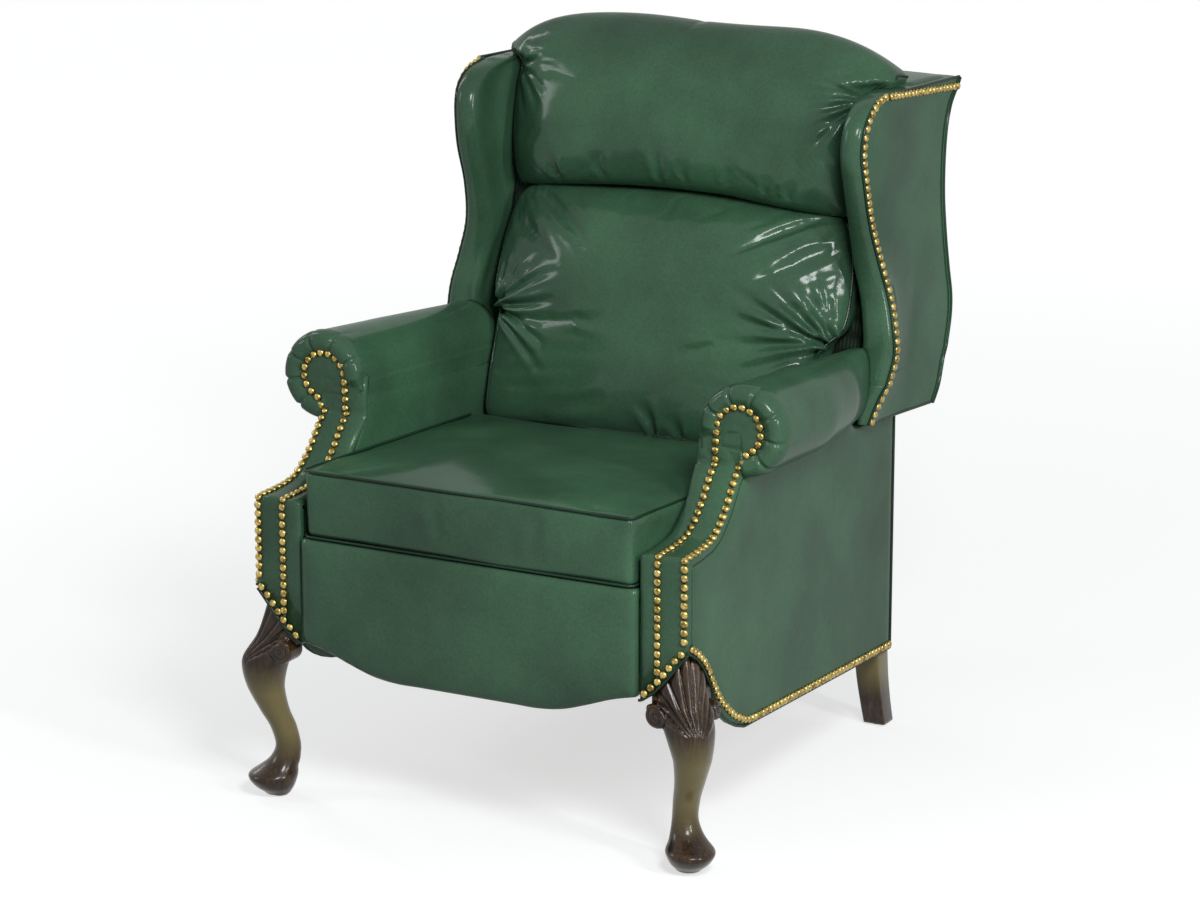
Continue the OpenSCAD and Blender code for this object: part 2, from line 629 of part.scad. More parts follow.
// Footrest links, from the seat plate inwards: focal and control links, ottoman link, bracket, drive link
tube_r = 6;
tube_share = 0.5;
module focal_link(side) {
    color(steel) at_side(side) difference() {
        union() {
            slab(focal_x, plate_t) bar(focal_p, knee_p, link_r, link_r);
            pin(ottoman_x - over, focal_x - ottoman_x + over, pin_r, knee_p);
        }
        pin(focal_x - over, plate_t + 2 * over, pin_hole, focal_p);
    }
}
module link_tube() {
    color(steel) pin(-drive_x, 2 * drive_x, tube_r, drive_p + tube_share * (drive_end - drive_p));
}
module control_link(side) {
    color(steel) at_side(side) difference() {
        union() {
            slab(control_x, plate_t) bar(control_p, control_end, link_r, link_r);
            pin(drive_x - over, control_x - drive_x + over, pin_r, drive_p);
        }
        pin(control_x - over, plate_t + 2 * over, pin_hole, control_p);
        pin(control_x - over, plate_t + 2 * over, open_pin_r + tail_slack, control_end);
    }
}
module ottoman_link(side) {
    color(steel) at_side(side) difference() {
        union() {
            slab(ottoman_x, plate_t) {
                bar(knee_p, footrest_p, link_r, link_r);
                bar(knee_p, tail_p, link_r, link_r);
                bar(knee_p + tail_along * ahead(ottoman_a0), tail_p, link_r, link_r);
            }
            pin(ottoman_x, control_x - ottoman_x + plate_t + over / 2, open_pin_r, tail_p);
            pin(footrest_x - over, layer + over, pin_r, footrest_p);
        }
        pin(ottoman_x - over, plate_t + 2 * over, pin_hole, knee_p);
    }
}
module drive_link(side) {
    color(steel) at_side(side) difference() {
        union() {
            slab(drive_x, plate_t) bar(drive_p, drive_end, link_r, link_r);
            pin(drive_x, plate_t, open_pin_r + board_slack + link_wall, drive_end);
        }
        pin(drive_x - over, plate_t + 2 * over, pin_hole, drive_p);
        pin(drive_x - over, plate_t + 2 * over, open_pin_r + board_slack, drive_end);
    }
}
board_y = -398;
board_back = board_y + board_t;
bracket_low = 270;
module footrest_bracket(side) {
    color(steel) at_side(side) difference() {
        union() {
            slab(footrest_x, plate_t) {
                bar(footrest_p, board_p, link_r, link_r);
                polygon([[board_back, bracket_low], footrest_p + [link_r, -link_r], board_p + [link_r, 0],
                         [board_back, board_p[1] + link_r]]);
            }
            pin(drive_x - over, layer + over, open_pin_r, board_p);
            block(footrest_x - rail_w / 2, footrest_x + plate_t, board_back, board_back + plate_t,
                  bracket_low, footrest_p[1] - link_r * 2);
        }
        pin(footrest_x - over, plate_t + 2 * over, pin_hole, footrest_p);
    }
}
// Lower edge of the footrest: two S curves and a shallow middle, as shares of half the width and the drop
foot_edge_shares = [[1, 0.79], [0.8, 0.86], [0.64, 0.955], [0.475, 1], [0.25, 1.0], [0, 1.0]];
footrest_gap = 2;
footrest_half = seat_w / 2 - footrest_gap;
function foot_edge(x) = footrest_top - footrest_h *
    lookup(abs(x) / footrest_half, [for (i = [len(foot_edge_shares) - 1 : -1 : 0]) foot_edge_shares[i]]);
board_inset = 3;
module footrest_board() {
    color(beech) face_on(board_y, board_t) polygon(concat(
        [for (s = [-1 : 0.1 : 1.001]) [s * (footrest_half - board_inset), foot_edge(s * footrest_half) + board_inset]],
        [[footrest_half - board_inset, footrest_top - board_inset],
         [-footrest_half + board_inset, footrest_top - board_inset]]));
}
module footrest_pad() {
    color(leather) skin(function(u, v, side)
        let (s = 2 * u - 1, d = 2 * v - 1, x = s * footrest_half, z0 = foot_edge(x),
             puff = pad_t * (0.45 + 0.55 * (1 - pow(abs(s), 8)) * (1 - pow(abs(d), 4))))
        [x, side == 0 ? board_y - puff : board_y, z0 + v * (footrest_top - z0)], 28, 10);
}

focal_link(1);  // focal_link_left
focal_link(-1);  // focal_link_right
link_tube();
control_link(1);  // control_link_left
control_link(-1);  // control_link_right
ottoman_link(1);  // ottoman_link_left
ottoman_link(-1);  // ottoman_link_right
drive_link(1);  // drive_link_left
drive_link(-1);  // drive_link_right
footrest_bracket(1);  // footrest_bracket_left
footrest_bracket(-1);  // footrest_bracket_right
footrest_board();
footrest_pad();

// Back: a raked frame with springs and a pad, hung on two brackets, with padded wings and a rear cover
plane_y = 235;
plane_z = 580;
crest_share = 0.1702;
crest = (overall_h - arm_h) * crest_share;
frame_low = 3;
frame_top = (overall_h - crest - plane_z) / cos(rake);
frame_depth = 35;
stile_low = 112;
stile_thin = 6;
stile_x = bracket_x - rail_w;
wing_half = arm_in + wing_stand;
wing_inset = 29;
wing_in = arm_in + wing_inset;
back_rail = 42;
back_pad_t = 10;
function plane(z) = plane_y + (z - plane_z) * tan(rake);
module raked() { translate([0, plane_y, plane_z]) rotate([-rake, 0, 0]) children(); }
module back_frame() {
    color(beech) raked() {
        for (s = [1, -1]) at_side(s) {
            block(wing_in - rail_w, wing_in, back_pad_t, back_pad_t + frame_depth, frame_low, frame_top);
            block(stile_x, stile_x + rail_w, back_pad_t, back_pad_t + frame_depth - stile_thin,
                  -stile_low, frame_low + over);
        }
        block(-wing_in + rail_w - over, wing_in - rail_w + over, back_pad_t, back_pad_t + frame_depth,
              frame_low, frame_low + back_rail);
        block(-wing_in + rail_w - over, wing_in - rail_w + over, back_pad_t, back_pad_t + frame_depth,
              frame_top - back_rail, frame_top);
    }
}
module back_springs() {
    l = frame_top - frame_low - 2 * back_rail;
    color(steel) raked() for (i = [0 : spring_n - 1])
        let (x = (i - (spring_n - 1) / 2) * 2 * (wing_in - rail_w) / spring_n)
        translate([x, back_pad_t + wire, frame_low + back_rail]) rotate([90, 0, 0]) linear_extrude(wire)
            rotate(90) zigzag(l, spring_w, wire);
}
pad_in = 5;
pad_half = wing_in - pad_in;
module back_pad() {
    color(platform_cloth) raked() {
        block(-pad_half, pad_half, 0, back_pad_t, frame_low, frame_top);
        block(-stile_x - rail_w, stile_x + rail_w, 0, back_pad_t, -stile_low, frame_low + over);
    }
}
bracket_r = 16;
bracket_end_r = 13;
bracket_foot_z = 500;
bracket_head_z = 560;
stile_mid = back_pad_t + frame_depth / 2 - plate_t;
module back_bracket(side) {
    foot = [plane(bracket_foot_z) + stile_mid, bracket_foot_z];
    head = [plane(bracket_head_z) + stile_mid, bracket_head_z];
    color(steel) at_side(side) difference() {
        union() {
            slab(bracket_x, plate_t) bar(back_p, foot, bracket_r, bracket_end_r);
            slab(bracket_x, plate_t) bar(foot, head, bracket_end_r, bracket_end_r);
        }
        pin(bracket_x - over, plate_t + 2 * over, back_pin_r + pin_fit, back_p);
    }
}
// Wing levels: height above the arm as a share of the back's height over the arm, and nose y, nose x
// and rear y, as shares of the back's depth and half width
depth_share = 1.2804;
depth = depth_share * arm_l;
wing_rows = [[-0.0245, 0.188, 1.029, 0.488], [0.0217, 0.193, 1.055, 0.5], [0.0542, 0.197, 1.078, 0.512],
    [0.0623, 0.198, 1.082, 0.513], [0.1356, 0.2125, 1.095, 0.525], [0.2019, 0.217, 1.084, 0.5256],
    [0.2881, 0.224, 1.052, 0.512], [0.3898, 0.2195, 1.009, 0.498], [0.5057, 0.2, 0.986, 0.487],
    [0.6176, 0.1785, 0.986, 0.487], [0.7018, 0.169, 0.982, 0.494], [0.7586, 0.172, 0.985, 0.507],
    [0.8047, 0.19, 0.99, 0.523]];
wing_foot_row = [-0.0556, 0.186, 1.014, 0.4605];
wing_top_row = [0.8525, 0.251, 0.98, 0.545];
foot_slope_share = -0.0815;
top_slope_share = -0.045;
skirt_t = 10;
skirt_x = wing_half - skirt_t;
// Plan of the rolled nose, as shares of its width: in from its outer side, and back from its front
nose_w = 38;
nose_shares = [[1, 0.632], [0.632, 0.132], [0.342, 0], [0.079, 0.158], [0, 0.474]];
skirt_nose_shares = [[0, 0.421], [0.316, 0.132], [0.184, 0], [0.079, 0.158], [0, 0.474]];
// How far behind the nose the outside gets flat, and the inside starts and ends its hollow, as shares
flank_share = 1.632;
hollow_shares = [2.895, 1.947];
post_shares = [0.868, 0.842];
skirt_shares = [1.579, 0.895];
flank_flare = 0.35;
post_in = 14;
hollow_in = 5;
function rear_y(row) = row[3] * depth - back_panel_t;
function wing_z(row) = arm_h + row[0] * (overall_h - arm_h);
function wing_ring(row, kind) =
    let (yl = row[1] * depth, xl = row[2] * wing_half, yr = rear_y(row),
         low = kind == "foot" || kind == "skirt", mid = kind == "post",
         nose = low ? skirt_nose_shares : nose_shares,
         inner = low ? skirt_shares : mid ? post_shares : hollow_shares,
         x0 = low ? skirt_x : mid ? wing_in - post_in : xl - nose_w,
         x1 = low || mid ? skirt_x : wing_in,
         x2 = low ? skirt_x : mid ? wing_in - post_in : wing_in + hollow_in,
         pts = concat([[x0, yl + (mid ? nose[0][1] / 3 : nose[0][1]) * nose_w]],
             [for (k = [1 : 4]) [xl - nose[k][0] * nose_w, yl + nose[k][1] * nose_w]],
             [[wing_half + (xl - wing_half) * flank_flare, yl + flank_share * nose_w],
              [wing_half, yr], [x1, yr], [x1, yl + inner[0] * nose_w], [x2, yl + inner[1] * nose_w]]))
    [for (p = pts) [p[0], p[1], kind == "foot" ? foot_z(p[1]) : kind == "top" ? top_z(p[1]) : wing_z(row)]];
function foot_z(y) = wing_z(wing_foot_row) + foot_slope_share * (y - wing_foot_row[1] * depth);
function top_z(y) = wing_z(wing_top_row) + top_slope_share * (y - wing_top_row[1] * depth);
module wing(side) {
    color(leather) at_side(side) loft(concat([wing_ring(wing_foot_row, "foot")],
        [for (i = [0 : len(wing_rows) - 1]) wing_ring(wing_rows[i], i < 2 ? "skirt" : i < 3 ? "post" : "full")],
        [wing_ring(wing_top_row, "top")]));
}
back_line = concat([[wing_foot_row[3] * depth, foot_z(rear_y(wing_foot_row))]],
    [for (row = wing_rows) [row[3] * depth, wing_z(row)]],
    [[wing_top_row[3] * depth, top_z(rear_y(wing_top_row))]]);
rail_top = [plane_y + back_pad_t * cos(rake) + frame_top * sin(rake),
            plane_z - back_pad_t * sin(rake) + frame_top * cos(rake)];
module outside_back() {
    inner = [for (p = back_line) p - [back_panel_t, 0]];
    top = back_line[len(back_line) - 1];
    lid = rail_top + [over, over / 2];
    color(leather) {
        slab(-wing_half, 2 * wing_half) polygon(concat(back_line, backwards(inner)));
        slab(-wing_in, 2 * wing_in) polygon([top - [back_panel_t, back_panel_t], top - [back_panel_t, 0],
            lid + [0, back_panel_t], lid]);
    }
}
module nails_wing(side) {
    rings = [for (i = [0 : len(wing_rows) - 1]) wing_ring(wing_rows[i], "full")];
    foot = wing_ring(wing_foot_row, "foot");
    top = wing_ring(wing_top_row, "top");
    path = concat([foot[4] + [0, 0, nail_edge]], [for (r = rings) r[4]],
                  [top[4] + [0, nail_d / 2, -nail_d], top[6] + [0, 0, -nail_d]]);
    color(brass) at_side(side) for (s = steps(path, nail_pitch)) let (q = along(path, s), up = abs(q[1][1]) < 0.8)
        nail_at(q[0], up ? unit(cross([(wing_half - q[0][0]) / (3 * nail_d), 1, 0], q[1])) : [1, 0, 0]);
}
// Lumbar cushion: narrow between the arms, wider above them, crowned, with soft gathered edges
pillow_h = 270;
pillow_z0 = overall_h - pillow_h;
lumbar_sink = 37;
lumbar_gap = 6;
lumbar_z0 = seat_h - lumbar_sink;
lumbar_z1 = pillow_z0 - lumbar_gap;
lumbar_side_gap = 12;
lumbar_low = seat_w / 2 - lumbar_side_gap;
lumbar_high = pad_half;
lumbar_draw = 5;
lumbar_t = 112;
notch_up = 89;
notch_share = (arm_h + notch_up - lumbar_z0) / (lumbar_z1 - lumbar_z0);
notch_run = 0.065;
module lumbar_cushion() {
    color(leather) skin(function(u, v, side)
        let (s = 2 * u - 1, z = lumbar_z0 + v * (lumbar_z1 - lumbar_z0),
             wide = lookup(v, [[notch_share, 0], [notch_share + notch_run, 1]]),
             w = lumbar_low + (lumbar_high - lumbar_low) * wide - lumbar_draw * (1 - pow(abs(2 * v - 1), 4)),
             end = 1 - pow(abs(2 * v - 1), 7),
             t = lumbar_t * lookup(v, [[0, 0.9], [0.4, 1], [0.7, 0.9], [1, 0.72]]) * (0.62 + 0.38 * end)
                 * (1 - 0.48 * pow(abs(s), 4)))
        [s * w, plane(z) - (side == 0 ? t : soft_gap), z], 26, 22);
}
// Head pillow: a full bolster with drawn-in ends that folds back over the top rail and the wings
pillow_half = pad_half;
pillow_t = 96;
pillow_sag = 21;
pillow_over = 58;
pillow_wide = 34;
pillow_fall = 60;
pillow_lift = 5;
seat_on_top = wing_z(wing_top_row) - over;
function ramp(t) = max(0, min(1, t));
module head_pillow() {
    color(leather) skin(function(u, v, side)
        let (s = 2 * u - 1, z0 = pillow_z0 + pillow_sag * (1 - s * s),
             z1 = overall_h - pillow_fall * pow(abs(s), 5),
             behind = v < 0.65 ? lerp(z0, seat_on_top, v / 0.65)
                 : lerp(seat_on_top + pillow_lift * ramp((v - 0.65) / 0.15), z1, ramp((v - 0.8) / 0.2)),
             z = side == 0 ? lerp(lerp(z0, z1, v), behind, pow(abs(s), 16)) : behind,
             w = pillow_half * lookup(v, [[0, 0.95], [0.3, 0.99], [0.7, 1], [1, 1]])
                 + pillow_wide * ramp((z - seat_on_top) / (pillow_fall / 6)) * (v > 0.98 ? 0.5 : 1),
             end = 1 - pow(abs(2 * v - 1), 5),
             t = pillow_t * (0.35 + 0.65 * end) * (1 - 0.55 * pow(abs(s), 5)),
             back = pillow_over * (v > 0.8 ? 1 - 0.85 * pow((v - 0.8) / 0.2, 2) : ramp((v - 0.65) / 0.15)))
        [s * w, plane(z) + (side == 0 ? -t + back * 0.15 * v : back * (1 - 0.5 * pow(abs(s), 5)) - soft_gap), z],
        28, 20);
}
function lerp(a, b, t) = a + (b - a) * t;

back_bracket(1);  // back_bracket_left
back_bracket(-1);  // back_bracket_right
back_frame();
back_springs();
back_pad();
wing(1);  // wing_left
wing(-1);  // wing_right
outside_back();
nails_wing(1);  // nails_wing_left
nails_wing(-1);  // nails_wing_right
lumbar_cushion();
head_pillow();
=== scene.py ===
import math
import bmesh
import bpy
import numpy as np
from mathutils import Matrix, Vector, noise


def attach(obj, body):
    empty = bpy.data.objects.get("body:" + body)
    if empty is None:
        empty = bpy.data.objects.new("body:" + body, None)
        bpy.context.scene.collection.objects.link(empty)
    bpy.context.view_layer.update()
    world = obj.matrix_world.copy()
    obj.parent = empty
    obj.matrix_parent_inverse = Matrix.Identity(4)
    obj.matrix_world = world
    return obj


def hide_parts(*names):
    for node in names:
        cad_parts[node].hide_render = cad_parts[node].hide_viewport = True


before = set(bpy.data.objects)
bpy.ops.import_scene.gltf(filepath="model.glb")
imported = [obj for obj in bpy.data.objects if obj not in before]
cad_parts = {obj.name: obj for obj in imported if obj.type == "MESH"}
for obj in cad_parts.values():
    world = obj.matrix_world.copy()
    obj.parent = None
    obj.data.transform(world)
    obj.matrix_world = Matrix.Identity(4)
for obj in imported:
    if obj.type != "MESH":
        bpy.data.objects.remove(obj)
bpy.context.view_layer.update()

# Studio: the chair stands on a white paper sweep, seen from a little above its arms and from the sitter's
# left. The main softbox hangs in front on the sitter's left and a weaker one on the right; a narrow strip
# stands beside the chair on the left and another behind it on the right.
AIM = Vector((0, 0, 0.4786))
DISTANCE = 6.13
AZIMUTH = math.radians(28.2)
ELEVATION = math.radians(15)
camera = bpy.data.objects.new("camera", bpy.data.cameras.new("camera"))
bpy.context.collection.objects.link(camera)
camera.location = AIM + DISTANCE * Vector((math.sin(AZIMUTH) * math.cos(ELEVATION),
                                           -math.cos(AZIMUTH) * math.cos(ELEVATION), math.sin(ELEVATION)))
camera.rotation_euler = (AIM - camera.location).to_track_quat("-Z", "Y").to_euler()
camera.data.sensor_width = 36
camera.data.lens = 124.35
bpy.context.scene.camera = camera
bpy.context.scene.view_settings.view_transform = "Standard"


def add(tree, kind, settings=None, values=None, links=None):
    """Adds a node to a tree, with its settings, its inputs' values and its links."""
    new = tree.nodes.new(kind)
    for name, value in (settings or {}).items():
        setattr(new, name, value)
    for name, value in (values or {}).items():
        new.inputs[name].default_value = value
    for name, source in (links or {}).items():
        tree.links.new(source, new.inputs[name])
    return new


def linear(colour):
    """Turns an sRGB hex colour, such as "#3d5f4a", to linear RGBA."""
    parts = [int(colour[i:i + 2], 16) / 255 for i in (1, 3, 5)]
    return [p / 12.92 if p <= 0.04045 else ((p + 0.055) / 1.055) ** 2.4 for p in parts] + [1]


def softbox(name, place, width, height, power):
    """Hangs a rectangular lamp that faces the chair."""
    lamp = bpy.data.objects.new(name, bpy.data.lights.new(name, "AREA"))
    bpy.context.collection.objects.link(lamp)
    lamp.data.shape = "RECTANGLE"
    lamp.data.size = width
    lamp.data.size_y = height
    lamp.data.energy = power
    lamp.location = place
    lamp.rotation_euler = (AIM - lamp.location).to_track_quat("-Z", "Y").to_euler()


softbox("key_softbox", Vector((1.7, -1.9, 2.2)), 0.7, 0.7, 56)
softbox("left_softbox", Vector((-3.2, -1.6, 2.0)), 0.7, 1.2, 20)
softbox("window_strip", Vector((3.1, -1.3, 1.75)), 0.24, 1.2, 42)
softbox("hair_strip", Vector((-2.6, 0.8, 2.2)), 0.3, 1.6, 14)

world = bpy.data.worlds.new("white_studio")
bpy.context.scene.world = world
world.use_nodes = True
tree = world.node_tree
tree.nodes.clear()


def seen_rays(tree):
    """1 for a ray by which the backdrop is seen: straight, in a reflection or through something."""
    path = add(tree, "ShaderNodeLightPath")
    either = add(tree, "ShaderNodeMath", {"operation": "MAXIMUM"},
                 links={0: path.outputs["Is Camera Ray"], 1: path.outputs["Is Glossy Ray"]})
    return add(tree, "ShaderNodeMath", {"operation": "MAXIMUM"},
               links={0: either.outputs[0], 1: path.outputs["Is Transmission Ray"]}).outputs[0]


sky_light = add(tree, "ShaderNodeBackground", values={"Color": linear("#f4f6f5"), "Strength": 0.2})
sky_seen = add(tree, "ShaderNodeBackground", values={"Color": (1, 1, 1, 1), "Strength": 1.0})
sky = add(tree, "ShaderNodeMixShader",
          links={0: seen_rays(tree), 1: sky_light.outputs[0], 2: sky_seen.outputs[0]})
add(tree, "ShaderNodeOutputWorld", links={"Surface": sky.outputs[0]})


def piece(name, points, faces):
    """Makes a smooth-shaded mesh object at the origin, with merged doubles and outward normals."""
    mesh = bpy.data.meshes.new(name)
    mesh.from_pydata([tuple(p) for p in points], [], faces)
    work = bmesh.new()
    work.from_mesh(mesh)
    bmesh.ops.remove_doubles(work, verts=work.verts, dist=1e-6)
    bmesh.ops.recalc_face_normals(work, faces=work.faces)
    work.to_mesh(mesh)
    work.free()
    mesh.shade_smooth()
    made = bpy.data.objects.new(name, mesh)
    bpy.context.collection.objects.link(made)
    return made


def blank(name):
    """An empty material: the material itself, its node tree and the socket of its object coordinates."""
    made = bpy.data.materials.new(name)
    made.use_nodes = True
    made.node_tree.nodes.clear()
    return made, made.node_tree, add(made.node_tree, "ShaderNodeTexCoord").outputs["Object"]


def ranged(tree, value, low, high, start=0, end=1):
    """Brings a value from between start and end to between low and high."""
    return add(tree, "ShaderNodeMapRange", links={"Value": value},
               values={"From Min": start, "From Max": end, "To Min": low, "To Max": high}).outputs["Result"]


FLOOR_HALF = 6
corners = [(x * FLOOR_HALF, y * FLOOR_HALF, 0) for x, y in ((-1, -1), (1, -1), (1, 1), (-1, 1))]
floor = piece("paper_sweep", corners, [(0, 1, 2, 3)])
paper, tree, where = blank("white backdrop paper")
matt = add(tree, "ShaderNodeBsdfDiffuse", values={"Color": linear("#b4b7b7")})
# The paper's own white grows away from the lamps, so that it is even and yet takes the chair's shadow
apart = add(tree, "ShaderNodeVectorMath", {"operation": "LENGTH"}, links={0: where})
glow = add(tree, "ShaderNodeEmission", values={"Color": (1, 1, 1, 1)},
           links={"Strength": ranged(tree, apart.outputs["Value"], 0.64, 0.9, 0.5, 4.0)})
lit = add(tree, "ShaderNodeAddShader", links={0: matt.outputs[0], 1: glow.outputs[0]})
shown = add(tree, "ShaderNodeMixShader", links={0: seen_rays(tree), 1: matt.outputs[0], 2: lit.outputs[0]})
add(tree, "ShaderNodeOutputMaterial", links={"Surface": shown.outputs[0]})
floor.data.materials.append(paper)

# Leather: full-grain hide, drum-dyed dark green, then waxed and buffed. It has soft clouds of lighter
# and darker dye, a fine pebble grain, shallow hand marks, and a clear gloss that shows lamps as crisp
# white patches.
GRAIN_MM = 2.4


def ramp(tree, factor, *stops):
    """Colours between stops, which are a place and a linear colour each."""
    made = add(tree, "ShaderNodeValToRGB", links={"Fac": factor})
    for end in (0, -1):
        made.color_ramp.elements[end].position = stops[end][0]
        made.color_ramp.elements[end].color = stops[end][1]
    for at, colour in stops[1:-1]:
        made.color_ramp.elements.new(at).color = colour
    return made.outputs["Color"]


def speckle(tree, where, scale, detail, **more):
    """A noise texture's value."""
    values = {"Scale": scale, "Detail": detail, **more}
    return add(tree, "ShaderNodeTexNoise", values=values, links={"Vector": where}).outputs["Fac"]


def multiplied(tree, first, second):
    """The product of two colours."""
    return add(tree, "ShaderNodeMixRGB", {"blend_type": "MULTIPLY"}, {"Fac": 1},
               {"Color1": first, "Color2": second}).outputs["Color"]


def bumped(tree, height, strength, distance, **under):
    """A bump's normal, over another normal if one is given."""
    return add(tree, "ShaderNodeBump", values={"Strength": strength, "Distance": distance},
               links={"Height": height, **under}).outputs["Normal"]


def surface(tree, values, links):
    """The material's surface, joined to its output."""
    shader = add(tree, "ShaderNodeBsdfPrincipled", values=values, links=links)
    add(tree, "ShaderNodeOutputMaterial", links={"Surface": shader.outputs["BSDF"]})


def leather(name, deep, mid, pale, gloss):
    """Dyed and waxed hide; the grain is drawn twice as coarse as it is so that it shows."""
    made, tree, where = blank(name)
    cloud = speckle(tree, where, 5.5, 4, Roughness=0.55)
    dye = ramp(tree, cloud, (0.3, linear(deep)), (0.5, linear(mid)), (0.72, linear(pale)))
    wear = ranged(tree, speckle(tree, where, 240, 2), 0.9, 1.08, 0.3, 0.7)
    pebble = add(tree, "ShaderNodeTexVoronoi", values={"Scale": 1000 / GRAIN_MM}, links={"Vector": where})
    hand = speckle(tree, where, 17, 2, Distortion=0.6)
    fine = bumped(tree, pebble.outputs["Distance"], 0.1, 0.0005)
    surface(tree, {"IOR": 1.06, "Coat Weight": 0.22, "Coat Roughness": 0.15, "Coat IOR": 1.7},
            {"Base Color": multiplied(tree, dye, wear),
             "Roughness": ranged(tree, cloud, gloss - 0.06, gloss + 0.1),
             "Normal": bumped(tree, hand, 0.28, 0.004, Normal=fine)})
    return made


green_hide = leather("waxed green hide", "#2f4a37", "#385842", "#40664b", 0.36)
dark_hide = leather("matt green hide, rear", "#273f2e", "#304d3a", "#385842", 0.5)
welt_hide = leather("dark green welt hide", "#15251b", "#1c3325", "#264230", 0.46)

# Arms: a hardwood frame under padding. The roll and its scroll, the flat outer side, the inside and the
# banded front are separate hides, sewn with welts. Sizes follow the solids: the inside face, the width,
# the taper and the line of the arm from its shelf up to the scroll.
ARM_IN = 0.273
ARM_W = 0.077
ARM_TAPER = 0.025
ARM_FRONT = -0.398
ARM_REAR = 0.333
ARM_TOP = 0.548
PEAK_Z = 0.330
HEM_Z = 0.127
WELT_R = 0.0024
SCROLL_X, SCROLL_Y, SCROLL_Z, SCROLL_R = 0.342, -0.222, 0.600, 0.067
ROLL_END = 0.172
PANEL_T = 0.010
# Place in depth and height: the front band's line from the shelf up to the scroll, and the lower edge
FACING = [(-0.398, 0.4548), (-0.394, 0.4598), (-0.3578, 0.4609), (-0.3169, 0.4653), (-0.292, 0.4762),
          (-0.2642, 0.4998), (-0.243, 0.5261), (-0.2269, 0.5436), (-0.2218, 0.548)]
SKIRT = [(0.333, HEM_Z), (-0.2072, 0.1649), (-0.235, 0.1743), (-0.2562, 0.1847), (-0.273, 0.1962),
         (-0.2884, 0.2099), (-0.3037, 0.234), (-0.3249, 0.2647), (-0.3461, 0.2926), (-0.3666, 0.3113),
         (-0.385, 0.322), (-0.398, 0.3275)]
# The side panels' upper edge: from the front up to the roll, and behind the roll
RISE = [(-0.3570, 0.4489), (-0.3137, 0.4535), (-0.2856, 0.4659), (-0.2556, 0.4914), (-0.2339, 0.5183)]
REAR_STEP = [(0.1722, ARM_TOP), (0.1758, 0.5151), (ARM_REAR, 0.5031)]


def dress(made, body, material, slot, *nodes, fill=None):
    """Gives a piece its material and its body, and hides the CAD nodes it stands for. The slot and the fill
    are not used."""
    made.data.materials.clear()
    made.data.materials.append(material)
    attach(made, body)
    if nodes:
        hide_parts(*nodes)


def pair(name, shape, body, material, slot, *nodes, fill=None):
    """A left and a right piece of one shape, which is given on the sitter's left."""
    points, faces = shape
    for side, hand in ((1, "_left"), (-1, "_right")):
        made = piece(name + hand, [(side * p[0], p[1], p[2]) for p in points], faces)
        dress(made, body, material, slot, *[node + hand for node in nodes], fill=fill)


def even(points, count):
    """Evenly spaced points on a polyline."""
    p = np.array(points, float)
    run = np.concatenate([[0], np.cumsum(np.linalg.norm(np.diff(p, axis=0), axis=1))])
    at = np.linspace(0, run[-1], count)
    return np.stack([np.interp(at, run, p[:, k]) for k in range(p.shape[1])], axis=1)


def spline(points, count):
    """Evenly spaced points on a Catmull-Rom curve through points."""
    p = np.array(points, float)
    p = np.vstack([2 * p[0] - p[1], p, 2 * p[-1] - p[-2]])
    dense = []
    for i in range(1, len(p) - 2):
        for t in np.linspace(0, 1, 24, endpoint=i == len(p) - 3):
            dense.append(0.5 * (2 * p[i] + (p[i + 1] - p[i - 1]) * t
                                + (2 * p[i - 1] - 5 * p[i] + 4 * p[i + 1] - p[i + 2]) * t ** 2
                                + (3 * p[i] - p[i - 1] - 3 * p[i + 1] + p[i + 2]) * t ** 3))
    return even(dense, count)


def directions(path):
    """The unit direction of a path at each of its points."""
    along = np.gradient(path, axis=0)
    return along / np.linalg.norm(along, axis=1)[:, None]


def look_up(x, table):
    """The value at x between a table's pairs."""
    return np.interp(x, *zip(*table))


def circle(count):
    """Evenly spaced angles round a circle."""
    return np.linspace(0, 2 * math.pi, count, endpoint=False)


def lofted(rings, folded=False):
    """Points and faces of a skin through closed rings of equal counts. A folded end is closed straight
    across a thin ring, from its first half to its last."""
    count = len(rings[0])
    points = [q for ring in rings for q in ring]
    faces = [(low + i, low + (i + 1) % count, low + count + (i + 1) % count, low + count + i)
             for low in range(0, (len(rings) - 1) * count, count) for i in range(count)]
    for first, ring in ((0, rings[0]), ((len(rings) - 1) * count, rings[-1])):
        if folded:
            faces += [(first + i, first + i + 1, first + count - 2 - i, first + count - 1 - i)
                      for i in range(count // 2 - 1)]
        else:
            points.append(np.mean(ring, axis=0))
            faces += [(first + i, first + (i + 1) % count, len(points) - 1) for i in range(count)]
    return points, faces


def arm_out(y):
    """The outer face of an arm, which narrows towards the rear."""
    return ARM_IN + ARM_W - ARM_TAPER * (y - ARM_FRONT) / (ARM_REAR - ARM_FRONT)


def tube(path, radius, sides=8):
    """Points and faces of a round cord along a path, with closed ends."""
    path = np.array(path, float)
    along = directions(path)
    up = np.cross(along[0], (0.31, 0.52, 0.8))
    rings = []
    for q, d in zip(path, along):
        up = up - d * np.dot(up, d)
        up /= np.linalg.norm(up)
        side = np.cross(d, up)
        rings.append([q + radius * (math.cos(a) * up + math.sin(a) * side) for a in circle(sides)])
    return lofted(rings)


def joined(parts):
    """Several sets of points and faces as one."""
    points, faces = [], []
    for some_points, some_faces in parts:
        shift = len(points)
        points += list(some_points)
        faces += [tuple(i + shift for i in face) for face in some_faces]
    return points, faces


# How a stretched hide falls off at its edge: distance in from the edge, and height above the board
STRETCHED = ((0, -0.0035), (0.0012, -0.001), (0.0035, 0.0005), (0.009, 0.0014), (0.02, 0.0022))


